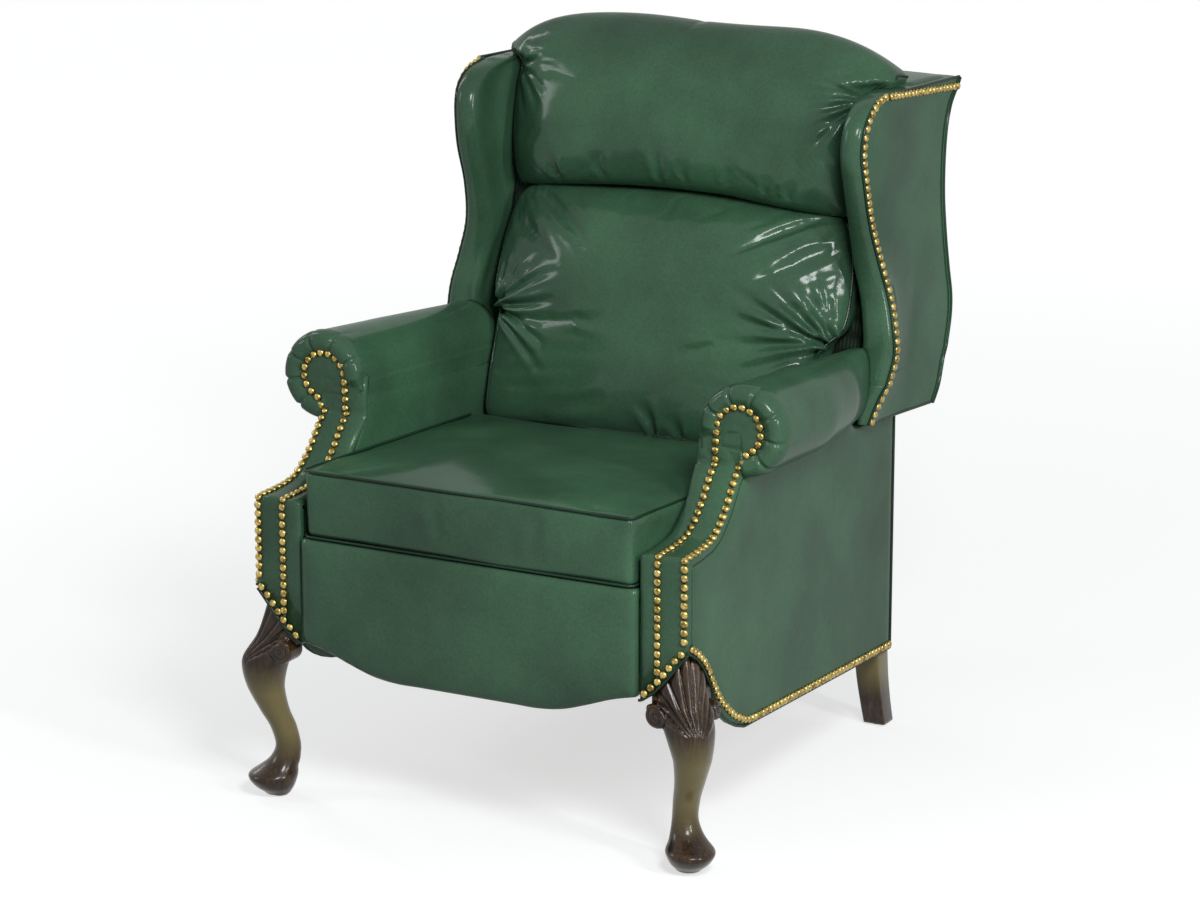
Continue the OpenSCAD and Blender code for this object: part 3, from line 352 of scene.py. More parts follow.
def stretched_panel(outline, place, thick, falls=STRETCHED, cell=0.006):
    """A padded panel: outline in its own plane, and place(a, b, height) gives the point in space."""
    work = bmesh.new()
    rim = [work.verts.new((q[0], q[1], 0)) for q in outline]
    work.faces.new(rim)
    for width in (0.0014, 0.0026):
        inner = max(work.faces, key=lambda f: f.calc_area())
        bmesh.ops.inset_region(work, faces=[inner], thickness=width, use_even_offset=True)
    low, high = np.min(outline, axis=0), np.max(outline, axis=0)
    for axis in (0, 1):
        for at in np.arange(low[axis] + cell / 2, high[axis], cell):
            spot, normal = [0, 0, 0], [0, 0, 0]
            spot[axis], normal[axis] = at, 1
            bmesh.ops.bisect_plane(work, geom=work.verts[:] + work.edges[:] + work.faces[:], dist=1e-5,
                                   plane_co=spot, plane_no=normal)
    work.verts.index_update()
    flat = np.array([v.co[:2] for v in work.verts])
    p = np.array(outline, float)
    run = np.roll(p, -1, axis=0) - p
    far = np.full(len(flat), 9.0)
    for start, step in zip(p, run):
        t = np.clip((flat - start) @ step / max(step @ step, 1e-12), 0, 1)
        far = np.minimum(far, np.linalg.norm(flat - start - t[:, None] * step, axis=1))
    points = [place(a, b, h) for (a, b), h in zip(flat, look_up(far, falls))]
    faces = [tuple(v.index for v in f.verts) for f in work.faces]
    edges = [tuple(v.index for v in e.verts) for e in work.edges if e.is_boundary]
    work.free()
    border = sorted({index for edge in edges for index in edge})
    back = {index: len(points) + k for k, index in enumerate(border)}
    points += [place(*flat[index], -thick) for index in border]
    beside = {index: [] for index in border}
    for a, b in edges:
        faces.append((a, b, back[b], back[a]))
        beside[a].append(b)
        beside[b].append(a)
    loop = border[:1]
    while onward := [index for index in beside[loop[-1]] if index not in loop]:
        loop.append(onward[0])
    faces.append(tuple(back[index] for index in loop))
    return points, faces


def arm_side_outline():
    front = [(ARM_FRONT + 0.012, 0.3215), (ARM_FRONT + 0.012, 0.4489)]
    return even(front + RISE + [(-0.2036, ARM_TOP)] + REAR_STEP + SKIRT[:-1] + front[:1], 260)[:-1]


# The inside hide runs up under the roll and sinks in behind it, so that no seam shows
INSIDE_TOP = [(-0.206, 0.590), (0.165, 0.562)]
INSIDE_SINK = 0.0042
SINK_REACH = 0.036


def inside_sink(y, z):
    share = np.clip((z - look_up(y, INSIDE_TOP) + SINK_REACH) / SINK_REACH, 0, 1)
    return INSIDE_SINK * float(share) ** 1.5


def arm_inside_outline():
    front = [(-0.386, 0.2499), (-0.386, 0.4489)]
    low = [(ARM_REAR, HEM_Z), (-0.2072, 0.1628), (-0.2788, 0.2302)]
    return even(front + RISE + [(-0.2110, 0.545)] + INSIDE_TOP + REAR_STEP + low + front[:1], 260)[:-1]


# The arm's front band: across its width, the height of the padding above the arm's line
BAND = ((0, -0.012), (0, -0.0072), (0.0012, -0.0038), (0.004, -0.0012), (0.009, 0.0006), (0.017, 0.001),
        (0.026, 0), (0.030, -0.0012), (0.034, 0), (0.045, 0.0014), (0.058, 0.0014), (0.0665, 0),
        (0.0705, -0.0012), (0.0735, -0.0006), (0.0757, -0.002), (0.077, -0.0045), (0.077, -0.012))
# Above the arm's line the band runs on up the scroll's face: place, height, sink and share of the width
BAND_TAIL = ((-0.2222, 0.5560, 0, 0.95), (-0.2222, 0.5655, 0.0004, 0.87), (-0.2222, 0.5760, 0.0020, 0.84),
             (-0.2222, 0.5880, 0.0042, 0.82), (-0.2222, 0.6040, 0.0080, 0.8))
# The lower end is cut to an arch over the knee: across, and height
ARCH = ((0, 0.2495), (0.006, 0.2512), (0.0238, 0.2635), (0.0418, 0.2827), (0.0571, 0.3019), (0.066, 0.3128),
        (0.0725, 0.3205), (0.077, 0.3245))


def facing_line(start_z, count):
    """The front band's line from a height up over the shelf to the scroll, and its directions."""
    line = np.vstack([even([(ARM_FRONT, start_z), FACING[0]], 10)[:-1], spline(FACING, count)])
    return line, directions(line)


def band_x(across, height, y, share, bulge):
    """Where a point of the band's section lies; the band narrows with the arm and bulges inwards."""
    narrow = share * (arm_out(y) - ARM_IN) / ARM_W
    return ARM_IN + across * narrow - bulge * max(0.0, 1 - across / 0.02) ** 0.6 * (height > BAND[0][1])


def arm_band():
    """The padded band on the arm's front, from the arch over the leg's knee up into the scroll."""
    rings = [[(ARM_IN + across, ARM_FRONT - height, look_up(across, ARCH)) for across, height in BAND]]
    for (y, z), d in zip(*facing_line(PEAK_Z + 0.012, 42)):
        bulge = np.interp(z, (0.51, ARM_TOP), (0, 0.0045))
        rings.append([(band_x(across, height, y, 1, bulge), y - d[1] * height, z + d[0] * height)
                      for across, height in BAND])
    for y, z, sink, share in BAND_TAIL:
        bulge = np.interp(z, (ARM_TOP, 0.604), (0.0045, 0))
        rings.append([(band_x(across, height, y, share, bulge), y - height + sink, z)
                      for across, height in BAND])
    return lofted(rings)


PLEATS = [math.radians(a) for a in (150, 110, 70, 30, -10, -50)]
PLEAT_WIDTH = 0.045
RING_FROM, RING_TO = math.radians(-82), math.radians(178)
# The roll's radius at its rear end, and how far its axis moves inwards and down on the way there
REAR_R, REAR_SHIFT, REAR_DROP = 0.0585, 0.007, 0.028


def scroll_radius(angle, radius, edge):
    """The roll's outline: round, but square at its lower inner corner, where it meets the arm."""
    c, s = math.cos(angle), math.sin(angle)
    drop = SCROLL_Z - ARM_TOP
    if c < 0 and s < 0:
        return min(radius / -c, drop / -s)
    if s < 0 and radius * -s > drop and radius * c < edge:
        return drop / -s
    return radius


def arm_roll():
    """The roll with its pleated ring and flat scroll face, as rings from the face's middle to the wing."""
    # Share of the radius and place in front of the scroll's plane
    face = ((0.02, 0.0012), (0.2, 0.0016), (0.36, 0.0012), (0.44, 0.0004), (0.5, -0.0008), (0.545, 0.0002),
            (0.60, 0.0042), (0.68, 0.0072), (0.78, 0.0085), (0.87, 0.0068), (0.94, 0.002), (0.985, -0.006),
            (1.0, -0.016))
    rings = []

    def pleat(angle, depth):
        near = min(abs((angle - a + math.pi) % (2 * math.pi) - math.pi) for a in PLEATS)
        return depth * math.exp(-(near / PLEAT_WIDTH) ** 2)

    for share, front in face:
        ring = []
        for a in circle(144):
            wrapped = (a + math.pi) % (2 * math.pi) - math.pi
            over = min(abs(wrapped - RING_FROM), abs(wrapped - RING_TO), 2 * math.pi - abs(wrapped - RING_TO))
            full = 1 if RING_FROM < wrapped < RING_TO else max(0.0, 1 - over / 0.26)
            fold = pleat(a, 0.0042) * full * max(0.0, min(1.0, (share - 0.52) / 0.1))
            flush = front
            if front >= 0.0014 or share >= 0.58:
                flush = front * full + (0 if full else min(front, 0))
            r = scroll_radius(a, SCROLL_R, arm_out(SCROLL_Y) - SCROLL_X) * share - fold * 0.35
            ring.append((SCROLL_X + r * math.cos(a), SCROLL_Y - flush + fold, SCROLL_Z + r * math.sin(a)))
        rings.append(ring)
    for t in np.linspace(0.07, 1, 26):
        y = SCROLL_Y + t * (ROLL_END + 0.012 - SCROLL_Y)
        radius = SCROLL_R + (REAR_R - SCROLL_R) * t
        cx, cz = SCROLL_X - REAR_SHIFT * t, SCROLL_Z - REAR_DROP * t
        tuck = np.interp(t, (0.45, 0.75, 1), (1, 0.72, 0.28))
        draw = np.interp(t, (0.45, 1), (1, 0.78))
        edge = arm_out(y - 0.02) - cx
        drop = (cz - ARM_TOP) + 1e-4
        ring = []
        for a in circle(144):
            c = math.cos(a) * (tuck if math.cos(a) > 0 else 1)
            s = math.sin(a) * (draw if math.sin(a) < 0 else 1)
            r = radius
            if c < 0 and s < 0:
                wall = (cx - ARM_IN - 0.001) / -c if -s > 0.02 else radius
                r = min(wall, drop / -s)
            elif s < 0 and radius * -s > drop and radius * c < edge:
                r = drop / -s
            fold = pleat(a, 0.003) * max(0.0, 1 - t / 0.16)
            lean = -0.24 * t * t * r * s if t > 0.4 else 0
            ring.append((cx + (r - fold) * c, y - lean, cz + (r - fold) * s))
        rings.append(ring)
    return lofted(rings)


def arm_welts():
    """Welts along the arm's lower edges: over the knee, under the side and down the rear."""
    skirt = [(arm_out(y) - 0.001, y, z + 0.0006) for y, z in even(SKIRT, 170)]
    cut = [(ARM_IN + a, ARM_FRONT - 0.0002, look_up(a, ARCH) - 0.0006)
           for a in np.linspace(0.001, ARM_W - 0.002, 40)]
    rear = [(arm_out(ARM_REAR) - 0.0005, ARM_REAR + 0.0015, z) for z in np.linspace(HEM_Z, 0.497, 40)]
    return joined([tube(skirt, WELT_R), tube(cut, 0.0022), tube(rear, WELT_R)])


def outward(y, z, height):
    return (arm_out(y) + height, y, z)


def inward(y, z, height):
    return (ARM_IN - height * 0.4 + inside_sink(y, z), y, z)


pair("arm_side", stretched_panel(arm_side_outline(), outward, PANEL_T), "base", green_hide, "leather",
     "arm_outer_panel")
pair("arm_inside", stretched_panel(arm_inside_outline(), inward, PANEL_T), "base", green_hide, "leather",
     "arm_inner_panel")
pair("arm_band", arm_band(), "base", green_hide, "leather", "arm_facing", fill=0.9)
pair("arm_roll_cover", arm_roll(), "base", green_hide, "leather", "arm_roll", fill=0.9)
pair("arm_welts", arm_welts(), "base", welt_hide, "leather")

# Legs: solid walnut, stained nearly black and lacquered. The front pair are cabriole legs turned to the
# corners, with a fluted shell and a scrolled ear carved on each knee and a slipper foot; the rear pair
# are plain square legs, raked backwards.
WOOD_GRAIN_MM = 3.5


def stained_wood(name, deep, mid, pale, gloss, painted_highlight_band=None):
    """Open-grained wood under stain and lacquer: dark pores run up it. On carved wood a painted highlight
    lays a paler tone between two heights, and painted shade darkens the hollows."""
    made, tree, where = blank(name)
    pulled = add(tree, "ShaderNodeMapping", values={"Scale": (1, 1, 0.09)}, links={"Vector": where})
    pores = speckle(tree, pulled.outputs["Vector"], 1000 / WOOD_GRAIN_MM, 5, Roughness=0.7)
    figure = speckle(tree, pulled.outputs["Vector"], 34, 3, Distortion=1.4)
    mixed = add(tree, "ShaderNodeMixRGB", values={"Fac": 0.45}, links={"Color1": pores, "Color2": figure})
    colour = ramp(tree, mixed.outputs["Color"],
                  (0.36, linear(deep)), (0.5, linear(mid)), (0.66, linear(pale)))
    if painted_highlight_band:
        # Painted shade: the carving's hollows, found by their pointiness, are darkened
        point = add(tree, "ShaderNodeNewGeometry").outputs["Pointiness"]
        painted_hollow_shade = multiplied(tree, colour, ranged(tree, point, 0.25, 1, 0.46, 0.51))
        # Painted highlight: a paler tone laid on between two heights
        height = add(tree, "ShaderNodeSeparateXYZ", links={"Vector": where})
        low, high, highlight_tone = painted_highlight_band
        highlight_zone = ramp(tree, height.outputs["Z"], (low, (0, 0, 0, 1)),
                    (low * 0.7 + high * 0.3, (0.75, 0.75, 0.75, 1)),
                    (low * 0.3 + high * 0.7, (0.75, 0.75, 0.75, 1)), (high, (0, 0, 0, 1)))
        colour = add(tree, "ShaderNodeMixRGB", values={"Color2": linear(highlight_tone)},
                     links={"Fac": highlight_zone, "Color1": painted_hollow_shade}).outputs["Color"]
    surface(tree, {"Roughness": gloss, "IOR": 1.25,
                   "Coat Weight": 0.4, "Coat Roughness": 0.12, "Coat IOR": 1.4},
            {"Base Color": colour, "Normal": bumped(tree, pores, 0.16, 0.0006)})
    return made


def coords(made):
    """A piece's points as an array."""
    flat = np.zeros(len(made.data.vertices) * 3, np.float32)
    made.data.vertices.foreach_get("co", flat)
    return flat.reshape(-1, 3).astype(float)


def set_coords(made, points):
    made.data.vertices.foreach_set("co", np.asarray(points, np.float32).ravel())
    made.data.update()


def normals(made):
    flat = np.zeros(len(made.data.vertices) * 3, np.float32)
    made.data.vertex_normals.foreach_get("vector", flat)
    return flat.reshape(-1, 3).astype(float)


def bake(made):
    """Applies all modifiers of a piece."""
    graph = bpy.context.evaluated_depsgraph_get()
    mesh = bpy.data.meshes.new_from_object(made.evaluated_get(graph))
    made.modifiers.clear()
    made.data = mesh
    mesh.shade_smooth()


def remeshed(made, voxel, passes):
    """Turns a closed form into even quads of one size, a little softened at its edges."""
    remesh = made.modifiers.new("even", "REMESH")
    remesh.mode = "VOXEL"
    remesh.voxel_size = voxel
    soften = made.modifiers.new("soften", "SMOOTH")
    soften.factor = 0.5
    soften.iterations = passes
    bake(made)


# The last value paints a highlight on the legs: a paler tone between the heights 0.05 and 0.21
walnut = stained_wood("lacquered dark walnut", "#160d07", "#312114", "#503c24", 0.3, (0.05, 0.21, "#7c7148"))
FOOT_X, FOOT_Y, PAD_D = 0.344, -0.375, 0.062
GLIDE_H = 0.003
KNEE_IN = 0.011
# Height as a share of the peak, shift towards the corner and half width as shares of the pad's diameter
LEG = ((0, -0.09, 0.28), (0.012, -0.085, 0.33), (0.04, -0.05, 0.46), (0.075, -0.03, 0.55),
       (0.09, -0.03, 0.567), (0.1, -0.05, 0.545), (0.125, -0.12, 0.45), (0.15, -0.2, 0.385),
       (0.18, -0.25, 0.335), (0.225, -0.28, 0.3), (0.31, -0.2, 0.315), (0.39, -0.06, 0.35),
       (0.49, 0.07, 0.42), (0.58, 0.13, 0.5), (0.65, 0.1, 0.545), (0.74, -0.1, 0.55), (0.84, -0.2, 0.5),
       (0.92, -0.22, 0.4), (0.985, -0.2, 0.2))
# The scrolled ears beside the knee: centre, and radius
FRONT_EAR, FRONT_EAR_R = (0.3065, -0.397, 0.2335), 0.0185
SIDE_EAR, SIDE_EAR_R = (0.352, -0.330, 0.228), 0.014
SHELL_FOOT_Z = 0.198
SHELL_SPREAD = math.radians(39)
SHELL_FLUTES = 7
FLUTE_DEPTH = 0.0046
RIM_HEIGHT = 0.0026
WINDING_DEPTH = 0.0026
WINDING_PITCH = 0.0078


def knee_centre(share, shift):
    """The leg's centre at a share of its height; numbers or arrays."""
    inward = KNEE_IN * np.interp(share, (0.5, 0.74), (0, 1))
    return FOOT_X + shift * PAD_D - inward, FOOT_Y - shift * PAD_D


def leg_form():
    """The leg before it is carved, from the foot up, squared under the arm's corner."""
    rings = []
    for share, shift, half in spline(LEG, 90):
        square = np.interp(share, (0.4, 0.7), (1, 0.7))
        toe = max(0.0, 1 - abs(share - 0.07) / 0.1)
        x0, y0 = knee_centre(share, shift)
        ring = []
        for a in circle(64):
            x = math.copysign(abs(math.cos(a)) ** square, math.cos(a))
            y = math.copysign(abs(math.sin(a)) ** square, math.sin(a))
            r = half * PAD_D * (1 + 0.12 * toe * max(0, (x - y) / math.sqrt(2)))
            ring.append((x0 + r * x, y0 + r * y, GLIDE_H + share * PEAK_Z))
        rings.append(ring)
    return lofted(rings)


def boss(centre, axis, radius, back, front):
    """A round block along x (axis 0) or y (axis 1), rounded in front."""
    rings = []
    for share, at in ((1, back), (1, front * 0.5), (0.93, front * 0.85), (0.7, front)):
        ring = []
        for a in circle(32):
            q = [centre[0], centre[1], centre[2] + radius * share * math.sin(a)]
            q[1 - axis] += radius * share * math.cos(a)
            q[axis] += at
            ring.append(tuple(q))
        rings.append(ring)
    return lofted(rings)


def carved(made):
    """Cuts the shell's flutes, the leaf edges beside it and the ears' scrolls into the knee."""
    points = coords(made)
    out = normals(made)
    rows = spline(LEG, 90)
    share = (points[:, 2] - GLIDE_H) / PEAK_Z
    shift = np.interp(share, rows[:, 0], rows[:, 1])
    x0, y0 = knee_centre(share, shift)
    across = (points[:, 0] - x0 + points[:, 1] - y0) / math.sqrt(2)
    facing = (points[:, 0] - x0 - points[:, 1] + y0) / math.sqrt(2)
    up = points[:, 2] - SHELL_FOOT_Z
    reach = np.hypot(across, up)
    angle = np.arctan2(across, np.maximum(up, 1e-6))
    on_shell = (up > 0) & (facing > 0)
    start = math.pi / 2 * (SHELL_FLUTES % 2)
    flute = np.abs(np.sin(angle * math.pi * SHELL_FLUTES / (2 * SHELL_SPREAD) + start))
    fade = np.clip((reach - 0.008) / 0.022, 0, 1)
    lift = np.where(on_shell & (np.abs(angle) < SHELL_SPREAD), -FLUTE_DEPTH * fade * (1 - flute) ** 1.5, 0)
    rim = np.exp(-((np.abs(angle) - SHELL_SPREAD - 0.13) / 0.075) ** 2)
    rim *= np.clip((reach - 0.012) / 0.02, 0, 1)
    lift += np.where(on_shell & (up < 0.085), RIM_HEIGHT * rim, 0)
    for centre, axis, radius in ((FRONT_EAR, 1, FRONT_EAR_R), (SIDE_EAR, 0, SIDE_EAR_R)):
        flat = points[:, 1 - axis] - centre[1 - axis]
        rise = points[:, 2] - centre[2]
        far = np.hypot(flat, rise)
        faced = (out[:, 1] < -0.5) if axis == 1 else (out[:, 0] > 0.5)
        winding = np.maximum(0, np.cos(np.arctan2(rise, flat) + 2 * math.pi * far / WINDING_PITCH)) ** 3
        cut = WINDING_DEPTH * winding * np.clip(far / 0.003, 0, 1)
        lift -= np.where(faced & (far < radius * 1.02), cut, 0)
    set_coords(made, points + out * lift[:, None])


def rear_leg():
    """A square leg with softened arrises, raked backwards."""
    rows = ((0, 0, 1), (0.3, 0.4, 1.03), (0.65, 0.78, 1.08), (1, 1, 1.12))
    soft = 0.004
    rings = []
    for share, back, thick in spline(rows, 30):
        half = 0.018 * thick
        corners = [(cx * (half - soft) + soft * math.cos(a + q), cy * (half - soft) + soft * math.sin(a + q))
                   for q, (cx, cy) in zip((0, math.pi / 2, math.pi, 1.5 * math.pi),
                                          ((1, 1), (-1, 1), (-1, -1), (1, -1)))
                   for a in np.linspace(0, math.pi / 2, 6)]
        rings.append([(0.303 + x, 0.345 - back * 0.032 + y, GLIDE_H + share * 0.1237) for x, y in corners])
    return lofted(rings)


def block(corners, low, high):
    """A plain block under the carving."""
    return lofted([[(x, y, z) for x, y in corners] for z in (low, high)])


knee_block = block([(0.290, -0.391), (0.335, -0.394), (0.335, -0.350), (0.290, -0.350)], 0.238, 0.262)
side_block = block([(0.320, -0.355), (0.3465, -0.355), (0.3465, -0.316), (0.320, -0.316)], 0.222, 0.262)
form = piece("leg_form", *joined([leg_form(), boss(FRONT_EAR, 1, FRONT_EAR_R, 0.024, -0.0135),
                                  boss(SIDE_EAR, 0, SIDE_EAR_R, -0.024, 0.012), knee_block, side_block]))
remeshed(form, 0.0017, 7)
carved(form)
carved_leg = coords(form), [tuple(f.vertices) for f in form.data.polygons]
bpy.data.objects.remove(form)
pair("cabriole_leg", carved_leg, "base", walnut, "walnut", "front_leg")
pair("square_leg", rear_leg(), "base", walnut, "walnut", "rear_leg")

# Rear of the base: one hide drawn over the panel between the arms and over their rear ends, with welts
# down both sides.
REAR_X = arm_out(ARM_REAR) - 0.001
REAR_TOP_Z = 0.495
REAR_Y = 0.3365
rear_outline = [(-REAR_X, HEM_Z), (REAR_X, HEM_Z), (REAR_X, REAR_TOP_Z), (-REAR_X, REAR_TOP_Z),
                (-REAR_X, HEM_Z)]
rear_cover = stretched_panel(even(rear_outline, 160)[:-1], lambda x, z, height: (x, REAR_Y + height, z),
                             0.003)
dress(piece("rear_cover", *rear_cover), "base", dark_hide, "leather_dark", "rear_panel")

# Seat cushion: a boxed leather cushion over foam. Its top is crowned, its boxing pulls in between the
# welts at its top and bottom edges, and it fills out as cloth under pressure.
SEAT_HALF = 0.270
SEAT_FRONT = 0.401
SEAT_TOP = 0.509
SEAT_BASE = 0.4105
SEAT_REAR = 0.100
SEAT_FALL = 0.029
SEAT_WELT_R = 0.0018


def swell(made, held, cap, pressure):
    """Blows a cushion up as cloth; held(points) is 1 where a seam or a board keeps it, and cap is the
    farthest that a point may move."""
    start = coords(made)
    weights = held(start)
    group = made.vertex_groups.new(name="held")
    for index in np.nonzero(weights > 0)[0]:
        group.add([int(index)], float(weights[index]), "REPLACE")
    cloth = made.modifiers.new("fill", "CLOTH")
    cloth.settings.vertex_group_mass = "held"
    cloth.settings.quality = 4
    cloth.settings.mass = 0.25
    cloth.settings.tension_stiffness = 18
    cloth.settings.compression_stiffness = 18
    cloth.settings.bending_stiffness = 0.6
    cloth.settings.use_pressure = True
    cloth.settings.uniform_pressure_force = pressure
    cloth.settings.effector_weights.gravity = 0
    cloth.collision_settings.use_collision = False
    scene = bpy.context.scene
    for step in range(1, 21):
        scene.frame_set(step)
    graph = bpy.context.evaluated_depsgraph_get()
    filled = made.evaluated_get(graph)
    move = coords(filled) - start
    length = np.linalg.norm(move, axis=1)
    move *= (np.minimum(length, cap) / np.maximum(length, 1e-9))[:, None]
    made.modifiers.clear()
    scene.frame_set(1)
    set_coords(made, start + move)


def subdivided(made):
    finer = made.modifiers.new("finer", "SUBSURF")
    finer.levels = 1
    finer.render_levels = 1
    bake(made)


def filled_cushion(name, shape, softening, held, cap, pressure):
    """A cushion's cover: even quads, blown up as cloth, then made finer."""
    made = piece(name, *shape)
    remeshed(made, 0.006, softening)
    swell(made, held, cap, pressure)
    subdivided(made)
    return made


def creased(made, folds):
    """Presses folds into a cushion. A fold runs from start to end with a width and a depth, is deepest
    where it starts if it fans from a gather, and raises a ridge on each side."""
    points = coords(made)
    out = normals(made)
    lift = np.zeros(len(points))
    for start, end, width, depth, gathered, bend in folds:
        a, b = np.array(start, float), np.array(end, float)
        run = b - a
        length = np.linalg.norm(run)
        direction = run / length
        t = np.clip((points - a) @ direction / length, 0, 1)
        across = np.cross(direction, (0.0, -0.97, 0.22))
        across /= np.linalg.norm(across)
        centre = a + t[:, None] * run + np.outer(bend * np.sin(math.pi * t), across)
        apart = points - centre
        lateral = apart @ across
        far = np.linalg.norm(apart, axis=1)
        inside = np.exp(-np.maximum(0, far - np.abs(lateral)) / 0.02)
        taper = (1 - t) ** 0.8 * np.minimum(1, t / 0.08 + 0.25) if gathered else np.sin(math.pi * t) ** 0.7
        w = width * (0.6 + 0.8 * t) if gathered else width * np.ones(len(t))
        lift += depth * taper * inside * (0.55 * np.exp(-((np.abs(lateral) - 1.5 * w) / w) ** 2)
                                          - np.exp(-(lateral / w) ** 2))
    set_coords(made, points + out * lift[:, None])


def puckered(made, seed, scale, depth):
    """Adds the shallow unevenness of a filled hide."""
    points = coords(made)
    out = normals(made)
    lift = [noise.noise(Vector(p * scale) + Vector((seed, 0, 0))) for p in points]
    set_coords(made, points + out * (np.array(lift) * depth)[:, None])


def cushion_points(front, back, nu, nv):
    """A closed skin: front(u, v) and back(u, v) give points, and the two meet along their edges."""
    def grid(shape):
        return [shape(i / nu, j / nv) for j in range(nv + 1) for i in range(nu + 1)]

    count = (nu + 1) * (nv + 1)
    points = grid(front) + grid(back)

    def at(i, j, layer):
        return layer * count + j * (nu + 1) + i

    faces = []
    for layer in (0, 1):
        faces += [(at(i, j, layer), at(i + 1, j, layer), at(i + 1, j + 1, layer), at(i, j + 1, layer))
                  for j in range(nv) for i in range(nu)]
    rim = ([(i, 0) for i in range(nu)] + [(nu, j) for j in range(nv)]
           + [(i, nv) for i in range(nu, 0, -1)] + [(0, j) for j in range(nv, 0, -1)])
    faces += [(at(*here, 0), at(*there, 0), at(*there, 1), at(*here, 1))
              for here, there in zip(rim, rim[1:] + rim[:1])]
    return points, faces


def seat_place(u, v):
    """Where a point of the seat cushion lies in plan; its front corners are drawn in."""
    s = 2 * u - 1
    half = SEAT_HALF - 0.0015 - 0.007 * (1 - v) ** 24 * abs(s) ** 8
    return s * half, -SEAT_FRONT + v * (SEAT_REAR + SEAT_FRONT)


def seat_top(u, v):
    s, d = 2 * u - 1, 2 * v - 1
    crown = 0.012 * (1 - abs(s) ** 4) * (1 - abs(d) ** 6)
    return (*seat_place(u, v), SEAT_TOP - SEAT_FALL * v + crown)


def seat_bottom(u, v):
    return (*seat_place(u, v), SEAT_BASE)


def seat_held(points):
    x, y, z = points.T
    top_seam = np.abs(z - (SEAT_TOP - SEAT_FALL * (y + SEAT_FRONT) / (SEAT_REAR + SEAT_FRONT)))
    near_side = np.abs(np.abs(x) - SEAT_HALF) < 0.010
    seam = (np.abs(y + SEAT_FRONT) < 0.008) & (top_seam < 0.009)
    return np.where(seam | near_side | (z < SEAT_BASE + 0.008) | (y > SEAT_REAR - 0.01), 1.0, 0.0)


seat = filled_cushion("seat_cover", cushion_points(seat_top, seat_bottom, 40, 36), 3, seat_held, 0.016, 3.0)
puckered(seat, 3.1, 9.0, 0.0036)
creased(seat, [((-0.21, -0.396, 0.512), (-0.12, -0.30, 0.525), 0.010, 0.0024, True, 0.006),
               ((0.20, -0.392, 0.512), (0.13, -0.29, 0.525), 0.010, 0.0024, True, -0.006),
               ((0.235, -0.36, 0.512), (0.17, -0.2, 0.525), 0.012, 0.0026, True, -0.008),
               ((-0.05, -0.401, 0.50), (-0.04, -0.405, 0.43), 0.012, 0.0016, False, 0.002),
               ((0.12, -0.401, 0.50), (0.11, -0.405, 0.43), 0.012, 0.0018, False, 0.002)])
dress(seat, "seat", green_hide, "leather", "seat_cushion", fill=0.8)


def seat_seam(z, drop):
    """A seam round the seat cushion's sides and front, which drops towards the rear."""
    corner = 0.010
    half = SEAT_HALF - 0.003
    y = -SEAT_FRONT - 0.0006
    right = [(-half, SEAT_REAR - 0.02, z - drop), (-half, y + corner, z),
             (-half + corner * 0.35, y + corner * 0.35, z), (-half + corner, y, z)]
    left = [(-x, y_end, z_end) for x, y_end, z_end in right[::-1]]
    return even([*right, (0, y, z), *left], 240)


seat_welts = joined([tube(seat_seam(SEAT_TOP + 0.0004, 0.027), SEAT_WELT_R),
                     tube(seat_seam(SEAT_BASE + 0.002, 0), SEAT_WELT_R)])
dress(piece("seat_welts", *seat_welts), "seat", welt_hide, "leather")

# Footrest: a padded board under the seat's front, its lower edge cut to a shallow apron curve, with the
# hide wrapped round all its edges.
REST_TOP = 0.408
REST_DROP = 0.195
REST_HALF = 0.2712
REST_WRAP = 0.0145
APRON = ((0, 1.0), (0.25, 1.0), (0.475, 1.0), (0.64, 0.955), (0.8, 0.86), (1, 0.79))


def apron(x):
    return REST_TOP - REST_DROP * look_up(abs(x) / REST_HALF, APRON)


lower = spline([(x, apron(x)) for x in np.linspace(-REST_HALF, REST_HALF, 15)], 90)
upper = [(REST_HALF, REST_TOP), (-REST_HALF, REST_TOP), lower[0]]
REST_FALLS = ((0, 0.001), (0.0015, 0.0034), (0.004, 0.0056), (0.010, 0.0080), (0.02, 0.0104),
              (0.034, 0.0122), (0.052, 0.013))
rest_cover = stretched_panel(even([*lower, *upper], 260)[:-1], lambda x, z, height: (x, -0.3985 - height, z),
                             REST_WRAP, REST_FALLS)
dress(piece("footrest_cover", *rest_cover), "footrest", green_hide, "leather", "footrest_pad", fill=0.9)

# Back plane: the front of the raked back frame, on which the cushions lie. It goes through the point given
# here in depth and height.
BACK_Y, BACK_Z = 0.235, 0.580
RAKE_ANGLE = math.radians(12.7)
RAKE = math.tan(RAKE_ANGLE)


def back_plane(z):
    """How far back the plane lies at a height; a number or an array."""
    return BACK_Y + (z - BACK_Z) * RAKE


# Lumbar cushion: one hide over fibre fill, narrow between the arms and wider above them. It is gathered
# into its welt at both corners where it turns round the arms.
LUMBAR_Z0, LUMBAR_Z1 = 0.467, 0.809
LUMBAR_T = 0.104
CUSHION_WELT_R = 0.0026
# Half width at shares of the height, from the bottom up
LUMBAR_WIDTH = ((0, 0.260), (0.06, 0.2665), (0.30, 0.2675), (0.44, 0.268), (0.475, 0.274), (0.51, 0.293),
                (0.56, 0.299), (0.70, 0.2985), (0.80, 0.294), (0.92, 0.284), (0.975, 0.273), (1, 0.257))
# How much of its thickness the cushion keeps at its sides, at shares of the height
LUMBAR_EDGE = ((0, 0.95), (0.25, 0.82), (0.43, 0.66), (0.5, 0.42), (0.6, 0.34), (0.9, 0.22))


